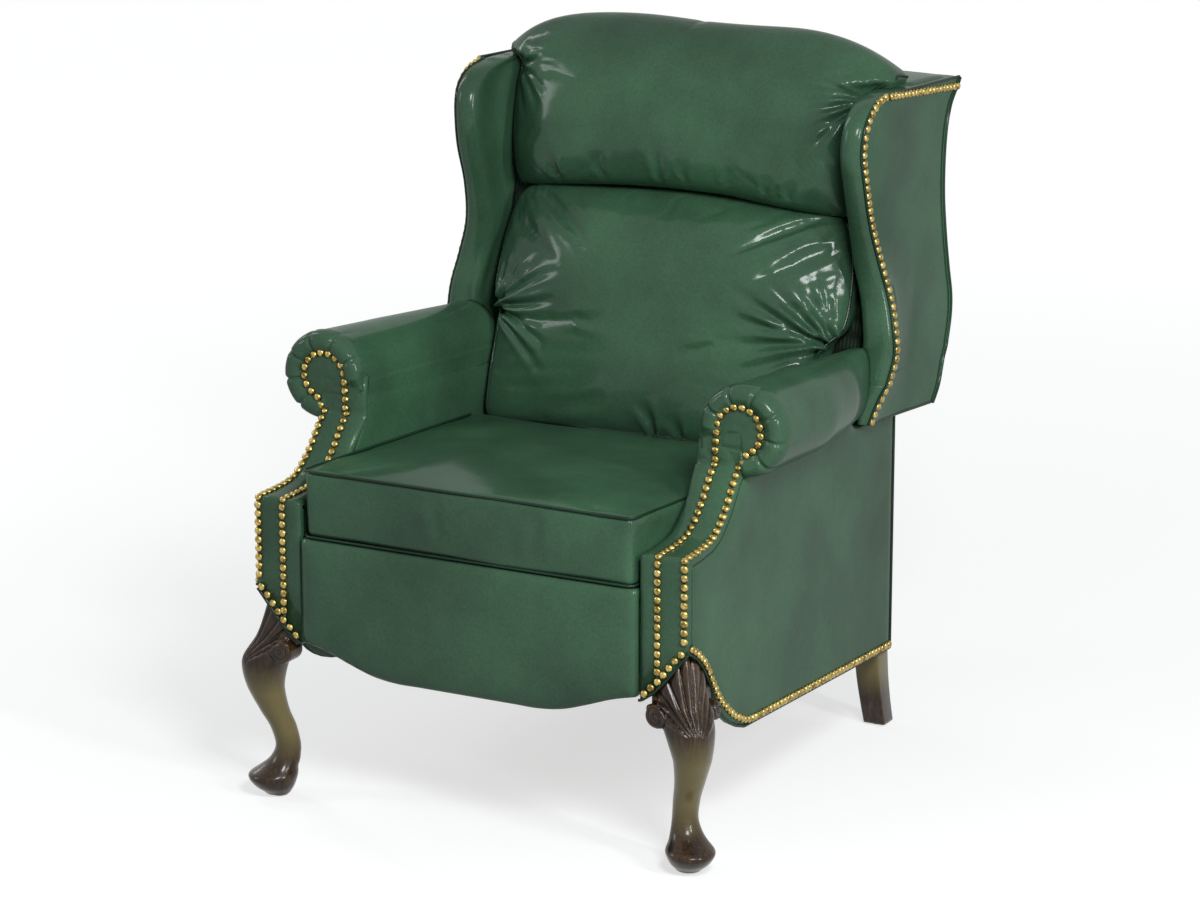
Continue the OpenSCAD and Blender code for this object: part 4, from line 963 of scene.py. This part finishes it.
def lumbar_front(u, v):
    s = 2 * u - 1
    z = LUMBAR_Z0 + v * (LUMBAR_Z1 - LUMBAR_Z0)
    end = 1 - abs(2 * v - 1) ** (12 if v < 0.5 else 10)
    flat = 0.9 if v < 0.5 else 0.66
    thick = LUMBAR_T * np.interp(v, (0, 0.4, 0.7, 1), (1, 1, 0.92, 0.78)) * (flat + (1 - flat) * end)
    thick *= 1 - (1 - look_up(v, LUMBAR_EDGE)) * abs(s) ** 7
    sag = 0.006 * (1 - s * s) * (1 - v)
    return (s * look_up(v, LUMBAR_WIDTH), back_plane(z) - thick, z + sag + 0.012 * (1 - s * s) * v ** 6)


def lumbar_back(u, v):
    s = 2 * u - 1
    z = LUMBAR_Z0 + v * (LUMBAR_Z1 - LUMBAR_Z0)
    return (s * look_up(v, LUMBAR_WIDTH), back_plane(z) - 0.0006, z + 0.012 * (1 - s * s) * v ** 6)


def lumbar_held(points):
    x, y, z = points.T
    v = np.clip((z - LUMBAR_Z0) / (LUMBAR_Z1 - LUMBAR_Z0), 0, 1)
    side = np.abs(x) > look_up(v, LUMBAR_WIDTH) - 0.007
    return np.where(side | (y > back_plane(z) - 0.022) | (v < 0.02), 1.0, 0.0)


lumbar = filled_cushion("lumbar_cover", cushion_points(lumbar_front, lumbar_back, 44, 34), 4, lumbar_held,
                        0.022, 4.0)
puckered(lumbar, 7.7, 8.0, 0.003)


def fan(centre, reach, first, last, count, width, depth, plane_y):
    """Folds that fan from a gathered corner, in the cushion's face."""
    folds = []
    for k in range(count):
        a = math.radians(first + (last - first) * k / (count - 1))
        long = reach * (0.72 + 0.28 * math.sin(2.4 * k + 0.7) ** 2)
        end = (centre[0] + long * math.cos(a), plane_y, centre[2] + long * math.sin(a))
        folds.append((centre, end, width, depth, True, 0.006 * math.sin(1.7 * k)))
    return folds


LEFT_NOTCH = (0.285, 0.196, 0.628)
RIGHT_NOTCH = (-0.285, 0.190, 0.628)
creased(lumbar, fan(LEFT_NOTCH, 0.170, 100, 214, 8, 0.0072, 0.0125, 0.128)
        + fan(RIGHT_NOTCH, 0.150, 84, -34, 8, 0.0060, 0.0095, 0.128)
        + [((0.03, 0.105, 0.478), (0.005, 0.105, 0.53), 0.009, 0.008, True, 0.006),
           ((0.075, 0.108, 0.478), (0.055, 0.108, 0.515), 0.010, 0.006, True, 0.004),
           ((0.12, 0.13, 0.625), (0.03, 0.125, 0.600), 0.012, 0.004, True, -0.006),
           ((-0.12, 0.13, 0.640), (-0.03, 0.125, 0.655), 0.012, 0.003, True, 0.006),
           ((-0.16, 0.12, 0.50), (-0.05, 0.11, 0.53), 0.012, 0.003, False, 0.004)])
dress(lumbar, "back", green_hide, "leather", "lumbar_cushion", fill=0.7)


def surface_welt(made, path):
    """A welt that follows a path and lies on the nearest points of a piece."""
    cover = coords(made)
    snapped = np.array([cover[np.argsort(np.sum((cover - q) ** 2, axis=1))[:6]].mean(axis=0) for q in path])
    for _ in range(4):
        snapped[1:-1] = (snapped[:-2] + 2 * snapped[1:-1] + snapped[2:]) / 4
    return tube(even(snapped, len(snapped)), CUSHION_WELT_R)


steps = np.linspace(0.0, 1.0, 70)
lumbar_welts = joined([surface_welt(lumbar, [np.array(lumbar_front(side, v)) for v in steps])
                       for side in (0.0, 1.0)])
dress(piece("lumbar_welts", *lumbar_welts), "back", welt_hide, "leather")

# Head pillow: a full bolster of fibre, gathered at its upper corners, that folds back over the top rail
# and the tops of the wings.
PILLOW_HALF = 0.296
PILLOW_LOW, PILLOW_HIGH = 0.824, 1.0735
RAIL_TOP = 1.0012
# Depth from the back's plane and height of the bolster's section, from its bottom crease over the top
PILLOW = ((-0.004, 0.826), (-0.030, PILLOW_LOW), (-0.062, 0.836), (-0.086, 0.868), (-0.095, 0.915),
          (-0.093, 0.965), (-0.082, 1.012), (-0.060, 1.052), (-0.028, PILLOW_HIGH), (0.008, 1.0705),
          (0.036, 1.048), (0.050, 1.020), (0.050, 1.004), (0.030, RAIL_TOP), (0.006, 1.0008),
          (-0.0012, 0.996), (-0.0008, 0.93), (-0.0008, 0.87))
SECTION = spline(PILLOW + (PILLOW[0],), 90)[:-1]


def pillow_ring(s):
    """The section at a share of the width, 0 in the middle and 1 at an end."""
    fall = 0.060 * abs(s) ** 5
    lift = -0.021 * s * s
    flat = 1 - 0.66 * abs(s) ** 8
    ring = []
    for depth, z in SECTION:
        height = (z - PILLOW_LOW) / (PILLOW_HIGH - PILLOW_LOW)
        z_new = z + lift * (1 - height) - fall * max(0.0, height - 0.55) / 0.45
        if depth > -0.003 and z > 0.99:
            z_new = max(z_new, RAIL_TOP)
        d_new = depth * (flat if depth < 0 else 1 + 0.5 * s ** 4)
        wide = PILLOW_HALF * np.interp(height, (0, 0.15, 0.4, 0.8, 1), (0.955, 0.985, 1, 1, 0.99))
        over = 0.034 * np.clip((z_new - 1.0005) / 0.006, 0, 1)
        ring.append((s * (wide + over), back_plane(z_new) + d_new, z_new))
    return ring


def pillow_held(points):
    x, y, z = points.T
    low = (z < 1.004) & (y > back_plane(z) - 0.018)
    return np.where(low | (np.abs(x) > PILLOW_HALF - 0.012), 1.0, 0.0)


pillow_form = lofted([pillow_ring(s) for s in np.concatenate([[-1], np.linspace(-0.985, 0.985, 45), [1]])])
pillow = filled_cushion("pillow_cover", pillow_form, 4, pillow_held, 0.018, 3.5)
puckered(pillow, 12.9, 7.0, 0.0042)
creased(pillow, [((-0.02, 0.205, 0.832), (-0.03, 0.175, 0.915), 0.010, 0.0085, True, 0.008),
                 ((0.02, 0.200, 0.835), (0.03, 0.175, 0.885), 0.009, 0.0070, True, -0.006),
                 ((0.09, 0.200, 0.835), (0.10, 0.180, 0.875), 0.010, 0.0060, True, 0.004),
                 ((-0.11, 0.205, 0.832), (-0.13, 0.180, 0.877), 0.010, 0.0060, True, 0.004),
                 ((-0.19, 0.215, 0.826), (-0.215, 0.19, 0.872), 0.010, 0.0060, True, 0.004),
                 ((0.15, 0.210, 0.830), (0.165, 0.185, 0.862), 0.008, 0.0050, True, -0.003),
                 ((0.19, 0.215, 0.828), (0.22, 0.19, 0.872), 0.010, 0.0060, True, -0.004),
                 ((0.035, 0.172, 0.905), (0.04, 0.178, 0.965), 0.011, 0.0050, False, 0.006),
                 ((-0.055, 0.172, 0.92), (-0.05, 0.178, 0.965), 0.010, 0.0042, False, 0.004)]
        + fan((0.292, 0.262, 0.985), 0.10, 150, 250, 6, 0.0056, 0.0105, 0.215)
        + fan((-0.292, 0.262, 0.990), 0.075, 30, -64, 5, 0.0056, 0.0090, 0.215))
dress(pillow, "back", green_hide, "leather", "head_pillow", fill=0.7)

edges = []
for s in (-1, 1):
    front = [q for q, (depth, z) in zip(pillow_ring(s), SECTION)
             if depth < -0.02 or (z > 1.03 and depth < 0.02)]
    edges.append(surface_welt(pillow, [np.array(q) + np.array((-s * 0.004, 0, 0)) for q in front]))
dress(piece("pillow_welts", *joined(edges)), "back", welt_hide, "leather")

# Wings: padded panels on the back's sides. Each has a rolled front edge with one welt along its outer side, a
# hollowed inside and a flat outside, and stands out over the arm's rear end.
WING_IN = 0.302
WING_HALF = 0.347
DEPTH = 0.936
HEIGHT = 1.078
BACK_T = 0.010
# Height, nose's place in depth, nose's place across and rear edge, as shares of height, depth and half width
WING = ((0.481, 0.186, 1.014, 0.4605), (0.4963, 0.188, 1.029, 0.488), (0.519, 0.193, 1.055, 0.5),
        (0.535, 0.197, 1.078, 0.512), (0.539, 0.198, 1.082, 0.513), (0.575, 0.2125, 1.095, 0.525),
        (0.6076, 0.217, 1.084, 0.5256), (0.65, 0.224, 1.052, 0.512), (0.7, 0.2195, 1.009, 0.498),
        (0.757, 0.2, 0.986, 0.487), (0.812, 0.1785, 0.986, 0.487), (0.8534, 0.169, 0.982, 0.494),
        (0.8813, 0.172, 0.985, 0.507), (0.8995, 0.182, 0.987, 0.519), (0.9135, 0.201, 0.987, 0.5315),
        (0.9215, 0.224, 0.985, 0.5385), (0.9265, 0.262, 0.982, 0.544))
SHELF_Z = 0.578


def wing_fall(z):
    """How steeply a level of the wing falls towards the rear: its top edge and its foot slope."""
    return -0.045 * np.clip((z - 0.95) / 0.045, 0, 1) - 0.0815 * np.clip((0.54 - z) / 0.02, 0, 1)


def wing_section(row, shrink):
    """One level of a wing, seen from above: up the inside, round the nose, and back along the outside."""
    height, nose, across, rear = row
    z = height * HEIGHT
    yl, xl, yr = nose * DEPTH, across * WING_HALF, rear * DEPTH - BACK_T
    broad = np.interp(z, (0.60, 0.74, 0.82), (0.056, 0.046, 0.037))
    inner = [(WING_IN, yr), (WING_IN, yl + 0.16), (WING_IN + 0.0015, yl + 0.108),
             (WING_IN + 0.006, yl + 0.074), (xl - broad, yl + 0.034), (xl - broad - 0.0005, yl + 0.020)]
    nose_points = [(xl - broad + 0.001, yl + 0.0115), (xl - broad + 0.007, yl + 0.0045),
                   (xl - 0.0195, yl + 0.0006), (xl - 0.009, yl + 0.0025), (xl - 0.003, yl + 0.008)]
    outer = [(xl - 0.0004, yl + 0.016), (xl, yl + 0.026), (WING_HALF + (xl - WING_HALF) * 0.35, yl + 0.062),
             (WING_HALF, yl + 0.13), (WING_HALF, (yl + yr) / 2 + 0.04), (WING_HALF, yr)]
    path = spline(inner + nose_points + outer, 72)
    if z < SHELF_Z:
        path[:, 0] = np.maximum(path[:, 0], WING_HALF - 0.010)
    middle = (WING_IN + WING_HALF) / 2
    ring = []
    for x, y in path:
        inwards = np.sign(middle - x) * min(shrink, abs(middle - x))
        y += shrink if y < yl + 0.05 else 0
        ring.append((x + inwards, y, z + wing_fall(z) * (y - yl)))
    return ring


def wing_rings():
    """The wing's levels; at the shelf the section changes from the narrow foot to the full width."""
    rings = []
    before = HEIGHT
    for row in spline(WING, 96):
        z = row[0] * HEIGHT
        if z >= SHELF_Z > before:
            rings += [wing_section((SHELF_Z / HEIGHT + up, *row[1:]), 0) for up in (-1e-5, 1e-5)]
        rings.append(wing_section(row, 0))
        before = z
    for up, shrink in ((0.0012, 0.002), (0.0022, 0.006), (0.0026, 0.012)):
        rings.append(wing_section((row[0] + up / HEIGHT, *row[1:]), shrink))
    return rings


# Outside of the back: one hide from the top edge down to the skirt, over the wings' rear edges, with
# welts round it, and a cover from its top edge forward to the pillow.
def back_line(count):
    """The back's rear edge in depth and height, from its foot up."""
    line = []
    for height, nose, _, rear in spline(WING, 96):
        z = height * HEIGHT
        line.append((rear * DEPTH, z + wing_fall(z) * (rear * DEPTH - nose * DEPTH)))
    return even(line, count)


def outside_back():
    line = back_line(70)
    rings = []
    inner = np.linspace(-WING_HALF + 0.003, WING_HALF - 0.003, 41)
    for x in (-WING_HALF, *inner, WING_HALF):
        edge = (abs(x) / WING_HALF) ** 10
        crown = (0.009 * (1 - (x / WING_HALF) ** 2) + 0.0015) * (1 - edge)
        outer = [(x, y - 0.0005 + crown * math.sin(math.pi * (k / 69)) ** 0.35, z)
                 for k, (y, z) in enumerate(line)]
        rings.append(outer + [(x, y - BACK_T, z) for y, z in line[::-1]])
    return lofted(rings, folded=True)


def back_lid():
    """The hide over the top rail, from the rear edge forward under the pillow."""
    rear_y, rear_z = back_line(70)[-1]
    top = [(0.338, 0.9962), (0.38, 0.9955), (0.42, 0.9935), (0.46, 0.9915), (rear_y - 0.012, rear_z + 0.0015),
           (rear_y - 0.003, rear_z - 0.0025)]
    low = [(rear_y - 0.006, rear_z - 0.010), (0.46, 0.9815), (0.42, 0.9835), (0.38, 0.9855), (0.338, 0.9865)]
    rings = []
    for x in np.linspace(-WING_HALF + 0.012, WING_HALF - 0.012, 31):
        soft = 1 - (abs(x) / WING_HALF) ** 8
        rings.append([(x, y, z + 0.003 * soft) for y, z in top] + [(x, y, z) for y, z in low])
    return lofted(rings)


def wing_welts():
    """Welts up the wing's front edge, down its rear edge and along its foot and top."""
    lead = [(across * WING_HALF - 0.0012, nose * DEPTH + 0.0105, height * HEIGHT)
            for height, nose, across, _ in spline(WING, 120)]
    rear = [(WING_HALF, y - 0.004, z) for y, z in back_line(110)]
    x, y, z = lead[0]
    foot = [(WING_HALF + (x - WING_HALF) * max(0.0, 1 - k / 9) - 0.001, at, z - 0.0815 * (at - y))
            for k, at in enumerate(np.linspace(y, rear[0][1], 30))]
    top = [(WING_HALF - 0.0015, y, z + 0.0012) for y, z in np.linspace(lead[-1][1:], rear[-1][1:], 40)]
    return joined([tube(lead, 0.0024), tube(rear, 0.003), tube(foot, 0.0026), tube(top, 0.0024)])


pair("wing_cover", lofted(wing_rings(), folded=True), "back", green_hide, "leather", "wing", fill=0.9)
pair("wing_welts", wing_welts(), "back", welt_hide, "leather")
back_cover = piece("back_cover", *joined([outside_back(), back_lid()]))
dress(back_cover, "back", green_hide, "leather", "outside_back")

# Nails: domed heads of antiqued brass, driven edge to edge. They line the arm bands, loop round the
# scrolls, follow the lower edges of the arms and run up the wings' front edges.
NAIL_PITCH = 0.0126
NAIL_R = 0.0061
NAIL_H = 0.0040
NAIL_PROUD = 0.0008
NAIL_BACK = 0.0165


def antique_brass():
    """Brass darkened by age: brown and bright in random patches."""
    made, tree, where = blank("antiqued brass")
    patch = speckle(tree, where, 160, 3)
    surface(tree, {"Metallic": 1.0},
            {"Base Color": ramp(tree, patch, (0.33, linear("#6b5a2c")), (0.62, linear("#bda766"))),
             "Roughness": ranged(tree, patch, 0.4, 0.26)})
    return made


brass = antique_brass()


def nail_tree():
    """A dome at every pitch along each line, turned to the line's own outward direction."""
    tree = bpy.data.node_groups.new("nail row", "GeometryNodeTree")
    tree.interface.new_socket("Lines", in_out="INPUT", socket_type="NodeSocketGeometry")
    inputs = {name: tree.interface.new_socket(name, in_out="INPUT", socket_type="NodeSocketFloat")
              for name in ("Pitch", "Head Radius", "Head Height")}
    tree.interface.new_socket("Nails", in_out="OUTPUT", socket_type="NodeSocketGeometry")
    given = add(tree, "NodeGroupInput")
    curve = add(tree, "GeometryNodeMeshToCurve", links={"Mesh": given.outputs["Lines"]})
    spaced = add(tree, "GeometryNodeResampleCurve", {"mode": "LENGTH"},
                 links={"Curve": curve.outputs["Curve"], "Length": given.outputs["Pitch"]})
    ball = add(tree, "GeometryNodeMeshUVSphere", values={"Segments": 12, "Rings": 6, "Radius": 1.0})
    size = {"X": "Head Radius", "Y": "Head Radius", "Z": "Head Height"}
    shape = add(tree, "ShaderNodeCombineXYZ",
                links={axis: given.outputs[name] for axis, name in size.items()})
    dome = add(tree, "GeometryNodeTransform",
               links={"Geometry": ball.outputs["Mesh"], "Scale": shape.outputs["Vector"]})
    out = add(tree, "GeometryNodeInputNamedAttribute", {"data_type": "FLOAT_VECTOR"}, {"Name": "out"})
    turned = add(tree, "FunctionNodeAlignRotationToVector", {"axis": "Z"},
                 links={"Vector": out.outputs["Attribute"]})
    uneven = add(tree, "FunctionNodeRandomValue", {"data_type": "FLOAT"}, {"Seed": 11, 2: 0.95, 3: 1.02})
    driven = add(tree, "GeometryNodeInstanceOnPoints",
                 links={"Points": spaced.outputs["Curve"], "Instance": dome.outputs["Geometry"],
                        "Rotation": turned.outputs["Rotation"], "Scale": uneven.outputs[1]})
    whole = add(tree, "GeometryNodeRealizeInstances", links={"Geometry": driven.outputs["Instances"]})
    smooth = add(tree, "GeometryNodeSetShadeSmooth", links={"Geometry": whole.outputs["Geometry"]})
    finish = add(tree, "GeometryNodeSetMaterial", values={"Material": brass},
                 links={"Geometry": smooth.outputs[0]})
    add(tree, "NodeGroupOutput", links={"Nails": finish.outputs["Geometry"]})
    return tree, inputs


nail_group, inputs = nail_tree()


def nail_rows(name, one_side):
    """Makes the heads along rows on both sides; a row lists points and their outward directions."""
    points, edges, outs = [], [], []
    for side in (1, -1):
        for row in one_side:
            edges += [(len(points) + k, len(points) + k + 1) for k in range(len(row) - 1)]
            for (x, y, z), (dx, dy, dz) in row:
                outs.append(Vector((side * dx, dy, dz)).normalized())
                points.append(Vector((side * x, y, z)) + NAIL_PROUD * outs[-1])
    mesh = bpy.data.meshes.new(name)
    mesh.from_pydata(points, edges, [])
    mesh.attributes.new("out", "FLOAT_VECTOR", "POINT").data.foreach_set(
        "vector", np.array(outs, np.float32).ravel())
    made = bpy.data.objects.new(name, mesh)
    bpy.context.collection.objects.link(made)
    rule = made.modifiers.new("nails", "NODES")
    rule.node_group = nail_group
    for size, value in (("Pitch", NAIL_PITCH), ("Head Radius", NAIL_R), ("Head Height", NAIL_H)):
        rule[inputs[size].identifier] = value
    bake(made)
    return made


def band_row(across, start_z):
    """Nails up the arm band at a place across it; the last one lies at the scroll's foot."""
    return [((ARM_IN + across * ((arm_out(y) - ARM_IN) / ARM_W), y, z), (0, -d[1], d[0]))
            for (y, z), d in zip(*facing_line(start_z, 60))]


def scroll_row():
    """The loop round the scroll, from the outer notch over the top and down the inner side."""
    loop = [(0.3445, 0.556), (0.3475, 0.5655)]
    loop += [(0.338 + 0.0345 * math.cos(math.radians(a)), 0.601 + 0.0345 * math.sin(math.radians(a)))
             for a in range(-62, 181, 9)]
    loop += [(0.3030, 0.585), (0.3022, 0.568), (0.3026, 0.556)]
    return [((x, SCROLL_Y - 0.0006, z), (0, -1, 0)) for x, z in even(loop, 120)]


def side_row():
    """Nails along the lower edge of the arm's outer side, up over the knee to the corner."""
    line = spline([(-0.389, 0.3323), (-0.3686, 0.3198), (-0.348, 0.3029), (-0.3345, 0.2869),
                   (-0.3219, 0.2687), (-0.3092, 0.2505), (-0.2955, 0.2342), (-0.2743, 0.2150),
                   (-0.253, 0.1990), (-0.2263, 0.1845), (-0.2035, 0.1755), (-0.176, 0.1708),
                   (-0.095, 0.1652), (0.325, 0.1355)], 200)
    away = (1, ARM_TAPER / (ARM_REAR - ARM_FRONT), 0)
    return [((arm_out(y) + 0.0016, y, z), away) for y, z in line]


# Nails of the slanted row over the knee: across and height
ARCH_NAILS = ((0.0103, 0.2605), (0.0196, 0.2702), (0.0299, 0.2795), (0.0402, 0.2925), (0.0504, 0.3060),
              (0.0591, 0.3170), (0.0672, 0.3255))


def wing_row():
    """Nails up the wing's front edge and back along its top edge."""
    up = [((across * WING_HALF - 0.0004, nose * DEPTH + NAIL_BACK, height * HEIGHT), (1, -0.3, 0))
          for height, nose, across, _ in spline(WING, 120)[1:116]]
    _, start_y, start_z = up[-1][0]
    end_y, end_z = back_line(110)[-1]
    over = np.linspace((start_y + 0.008, start_z + 0.001), (end_y - 0.012, end_z - 0.012), 30)
    return up + [((WING_HALF - 0.0005, y, z), (1, 0, 0)) for y, z in over]


arch_row = [((ARM_IN + a, ARM_FRONT - 0.0005, z), (0, -1, 0)) for a, z in even(ARCH_NAILS, 30)]
arm_rows = [band_row(0.0710, PEAK_Z + 0.014), band_row(0.0300, 0.2950), scroll_row(), side_row(), arch_row]
dress(nail_rows("nail_heads_arms", arm_rows), "base", brass, "nailhead",
      "nails_arm_left", "nails_arm_right", "nails_side_left", "nails_side_right")
dress(nail_rows("nail_heads_wings", [wing_row()]), "back", brass, "nailhead",
      "nails_wing_left", "nails_wing_right")

# Deck and back padding: cotton platform cloth over the springs and the back frame, where the cushions hide
# it. Only narrow strips of it show beside the cushions, and its dark green is painted shade in those gaps.
CLOTH_THREAD_MM = 3


def shade_dark_twill():
    """Woven cotton cloth in dark colours, which are painted shade; its threads are drawn four times as coarse
    as they are so that they show.
    """
    made, tree, where = blank("platform cloth darkened as painted shade")
    warp, weft = [add(tree, "ShaderNodeTexWave", {"bands_direction": axis},
                      {"Scale": 500 / CLOTH_THREAD_MM / math.pi, "Distortion": 0.6},
                      {"Vector": where}).outputs["Color"] for axis in ("X", "Y")]
    both = multiplied(tree, warp, weft)
    # Painted shade: the cloth's dark green colours
    surface(tree, {"Roughness": 0.9, "IOR": 1.3},
            {"Base Color": ramp(tree, both, (0, linear("#121c16")), (1, linear("#2c4034"))),
             "Normal": bumped(tree, both, 0.5, 0.001)})
    return made


def cad_finish(material, *names):
    """Gives CAD nodes a better material."""
    for name in names:
        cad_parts[name].data.materials.clear()
        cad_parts[name].data.materials.append(material)


platform_cloth = shade_dark_twill()
cad_finish(platform_cloth, "seat_deck")
PAD_HALF, TONGUE_HALF = 0.306, 0.257
PAD_FOOT, TONGUE_FOOT, PAD_TOP = 0.003, -0.112, 0.418


def pad_place(x, up, height):
    """A point on the raked frame, up along it and out from it."""
    deep = 0.0035 - height
    cos_r, sin_r = math.cos(RAKE_ANGLE), math.sin(RAKE_ANGLE)
    return (x, BACK_Y + deep * cos_r + up * sin_r, BACK_Z - deep * sin_r + up * cos_r)


# Across and up: the padding's outline has a tongue that reaches down between the arms
pad_outline = [(-PAD_HALF, PAD_FOOT), (-TONGUE_HALF, PAD_FOOT), (-TONGUE_HALF, TONGUE_FOOT),
               (TONGUE_HALF, TONGUE_FOOT), (TONGUE_HALF, PAD_FOOT), (PAD_HALF, PAD_FOOT), (PAD_HALF, PAD_TOP),
               (-PAD_HALF, PAD_TOP), (-PAD_HALF, PAD_FOOT)]
back_padding = stretched_panel(even(pad_outline, 200)[:-1], pad_place, 0.006,
                               ((0, -0.001), (0.001, 0.0015), (0.004, 0.0022)), 0.02)
dress(piece("back_padding", *back_padding), "back", platform_cloth, "platform_cloth", "back_pad", fill=1.0)

# Frames: kiln-dried beech, sawn and left bare inside the chair. It carries the arms, the seat, the back and
# the footrest's board.
beech = stained_wood("bare sawn beech", "#a57c50", "#c29a6b", "#d6b588", 0.6)
cad_finish(beech, "arm_frame_left", "arm_frame_right", "cross_rails", "corner_blocks", "seat_frame",
           "back_frame", "footrest_board")


# Mechanism: blanked steel links and plates, zinc-plated, with a fine rolled grain and dull highlights. The
# springs, the track bolts and the links' cross tube have the same finish.
def plated_steel():
    made, tree, where = blank("zinc-plated steel")
    rolled = add(tree, "ShaderNodeMapping", values={"Scale": (1, 0.05, 1)}, links={"Vector": where})
    line = speckle(tree, rolled.outputs["Vector"], 420, 3)
    spangle = add(tree, "ShaderNodeTexVoronoi", values={"Scale": 150}, links={"Vector": where})
    tone = ramp(tree, spangle.outputs["Color"], (0, linear("#8e9497")), (1, linear("#b3b8ba")))
    surface(tree, {"Metallic": 1.0},
            {"Base Color": tone, "Roughness": ranged(tree, line, 0.3, 0.46),
             "Normal": bumped(tree, line, 0.1, 0.0004)})
    return made


plates = ("base_track", "seat_plate", "focal_link", "control_link", "ottoman_link", "drive_link",
          "footrest_bracket", "back_bracket")
cad_finish(plated_steel(), "track_bolts", "seat_springs", "link_tube", "back_springs",
           *[stem + "_" + hand for stem in plates for hand in ("left", "right")])


# Glides and rollers: moulded nylon, off-white, faintly mottled and scuffed. The glides lie under the feet,
# and the rollers run in the slotted tracks.
def moulded_nylon():
    made, tree, where = blank("moulded nylon")
    scuff = speckle(tree, where, 300, 4)
    surface(tree, {"IOR": 1.53, "Subsurface Weight": 0.05},
            {"Base Color": ramp(tree, scuff, (0, linear("#c9c4b6")), (1, linear("#ebe7dc"))),
             "Roughness": ranged(tree, scuff, 0.4, 0.6)})
    return made


cad_finish(moulded_nylon(), "floor_glides", "glide_rollers")
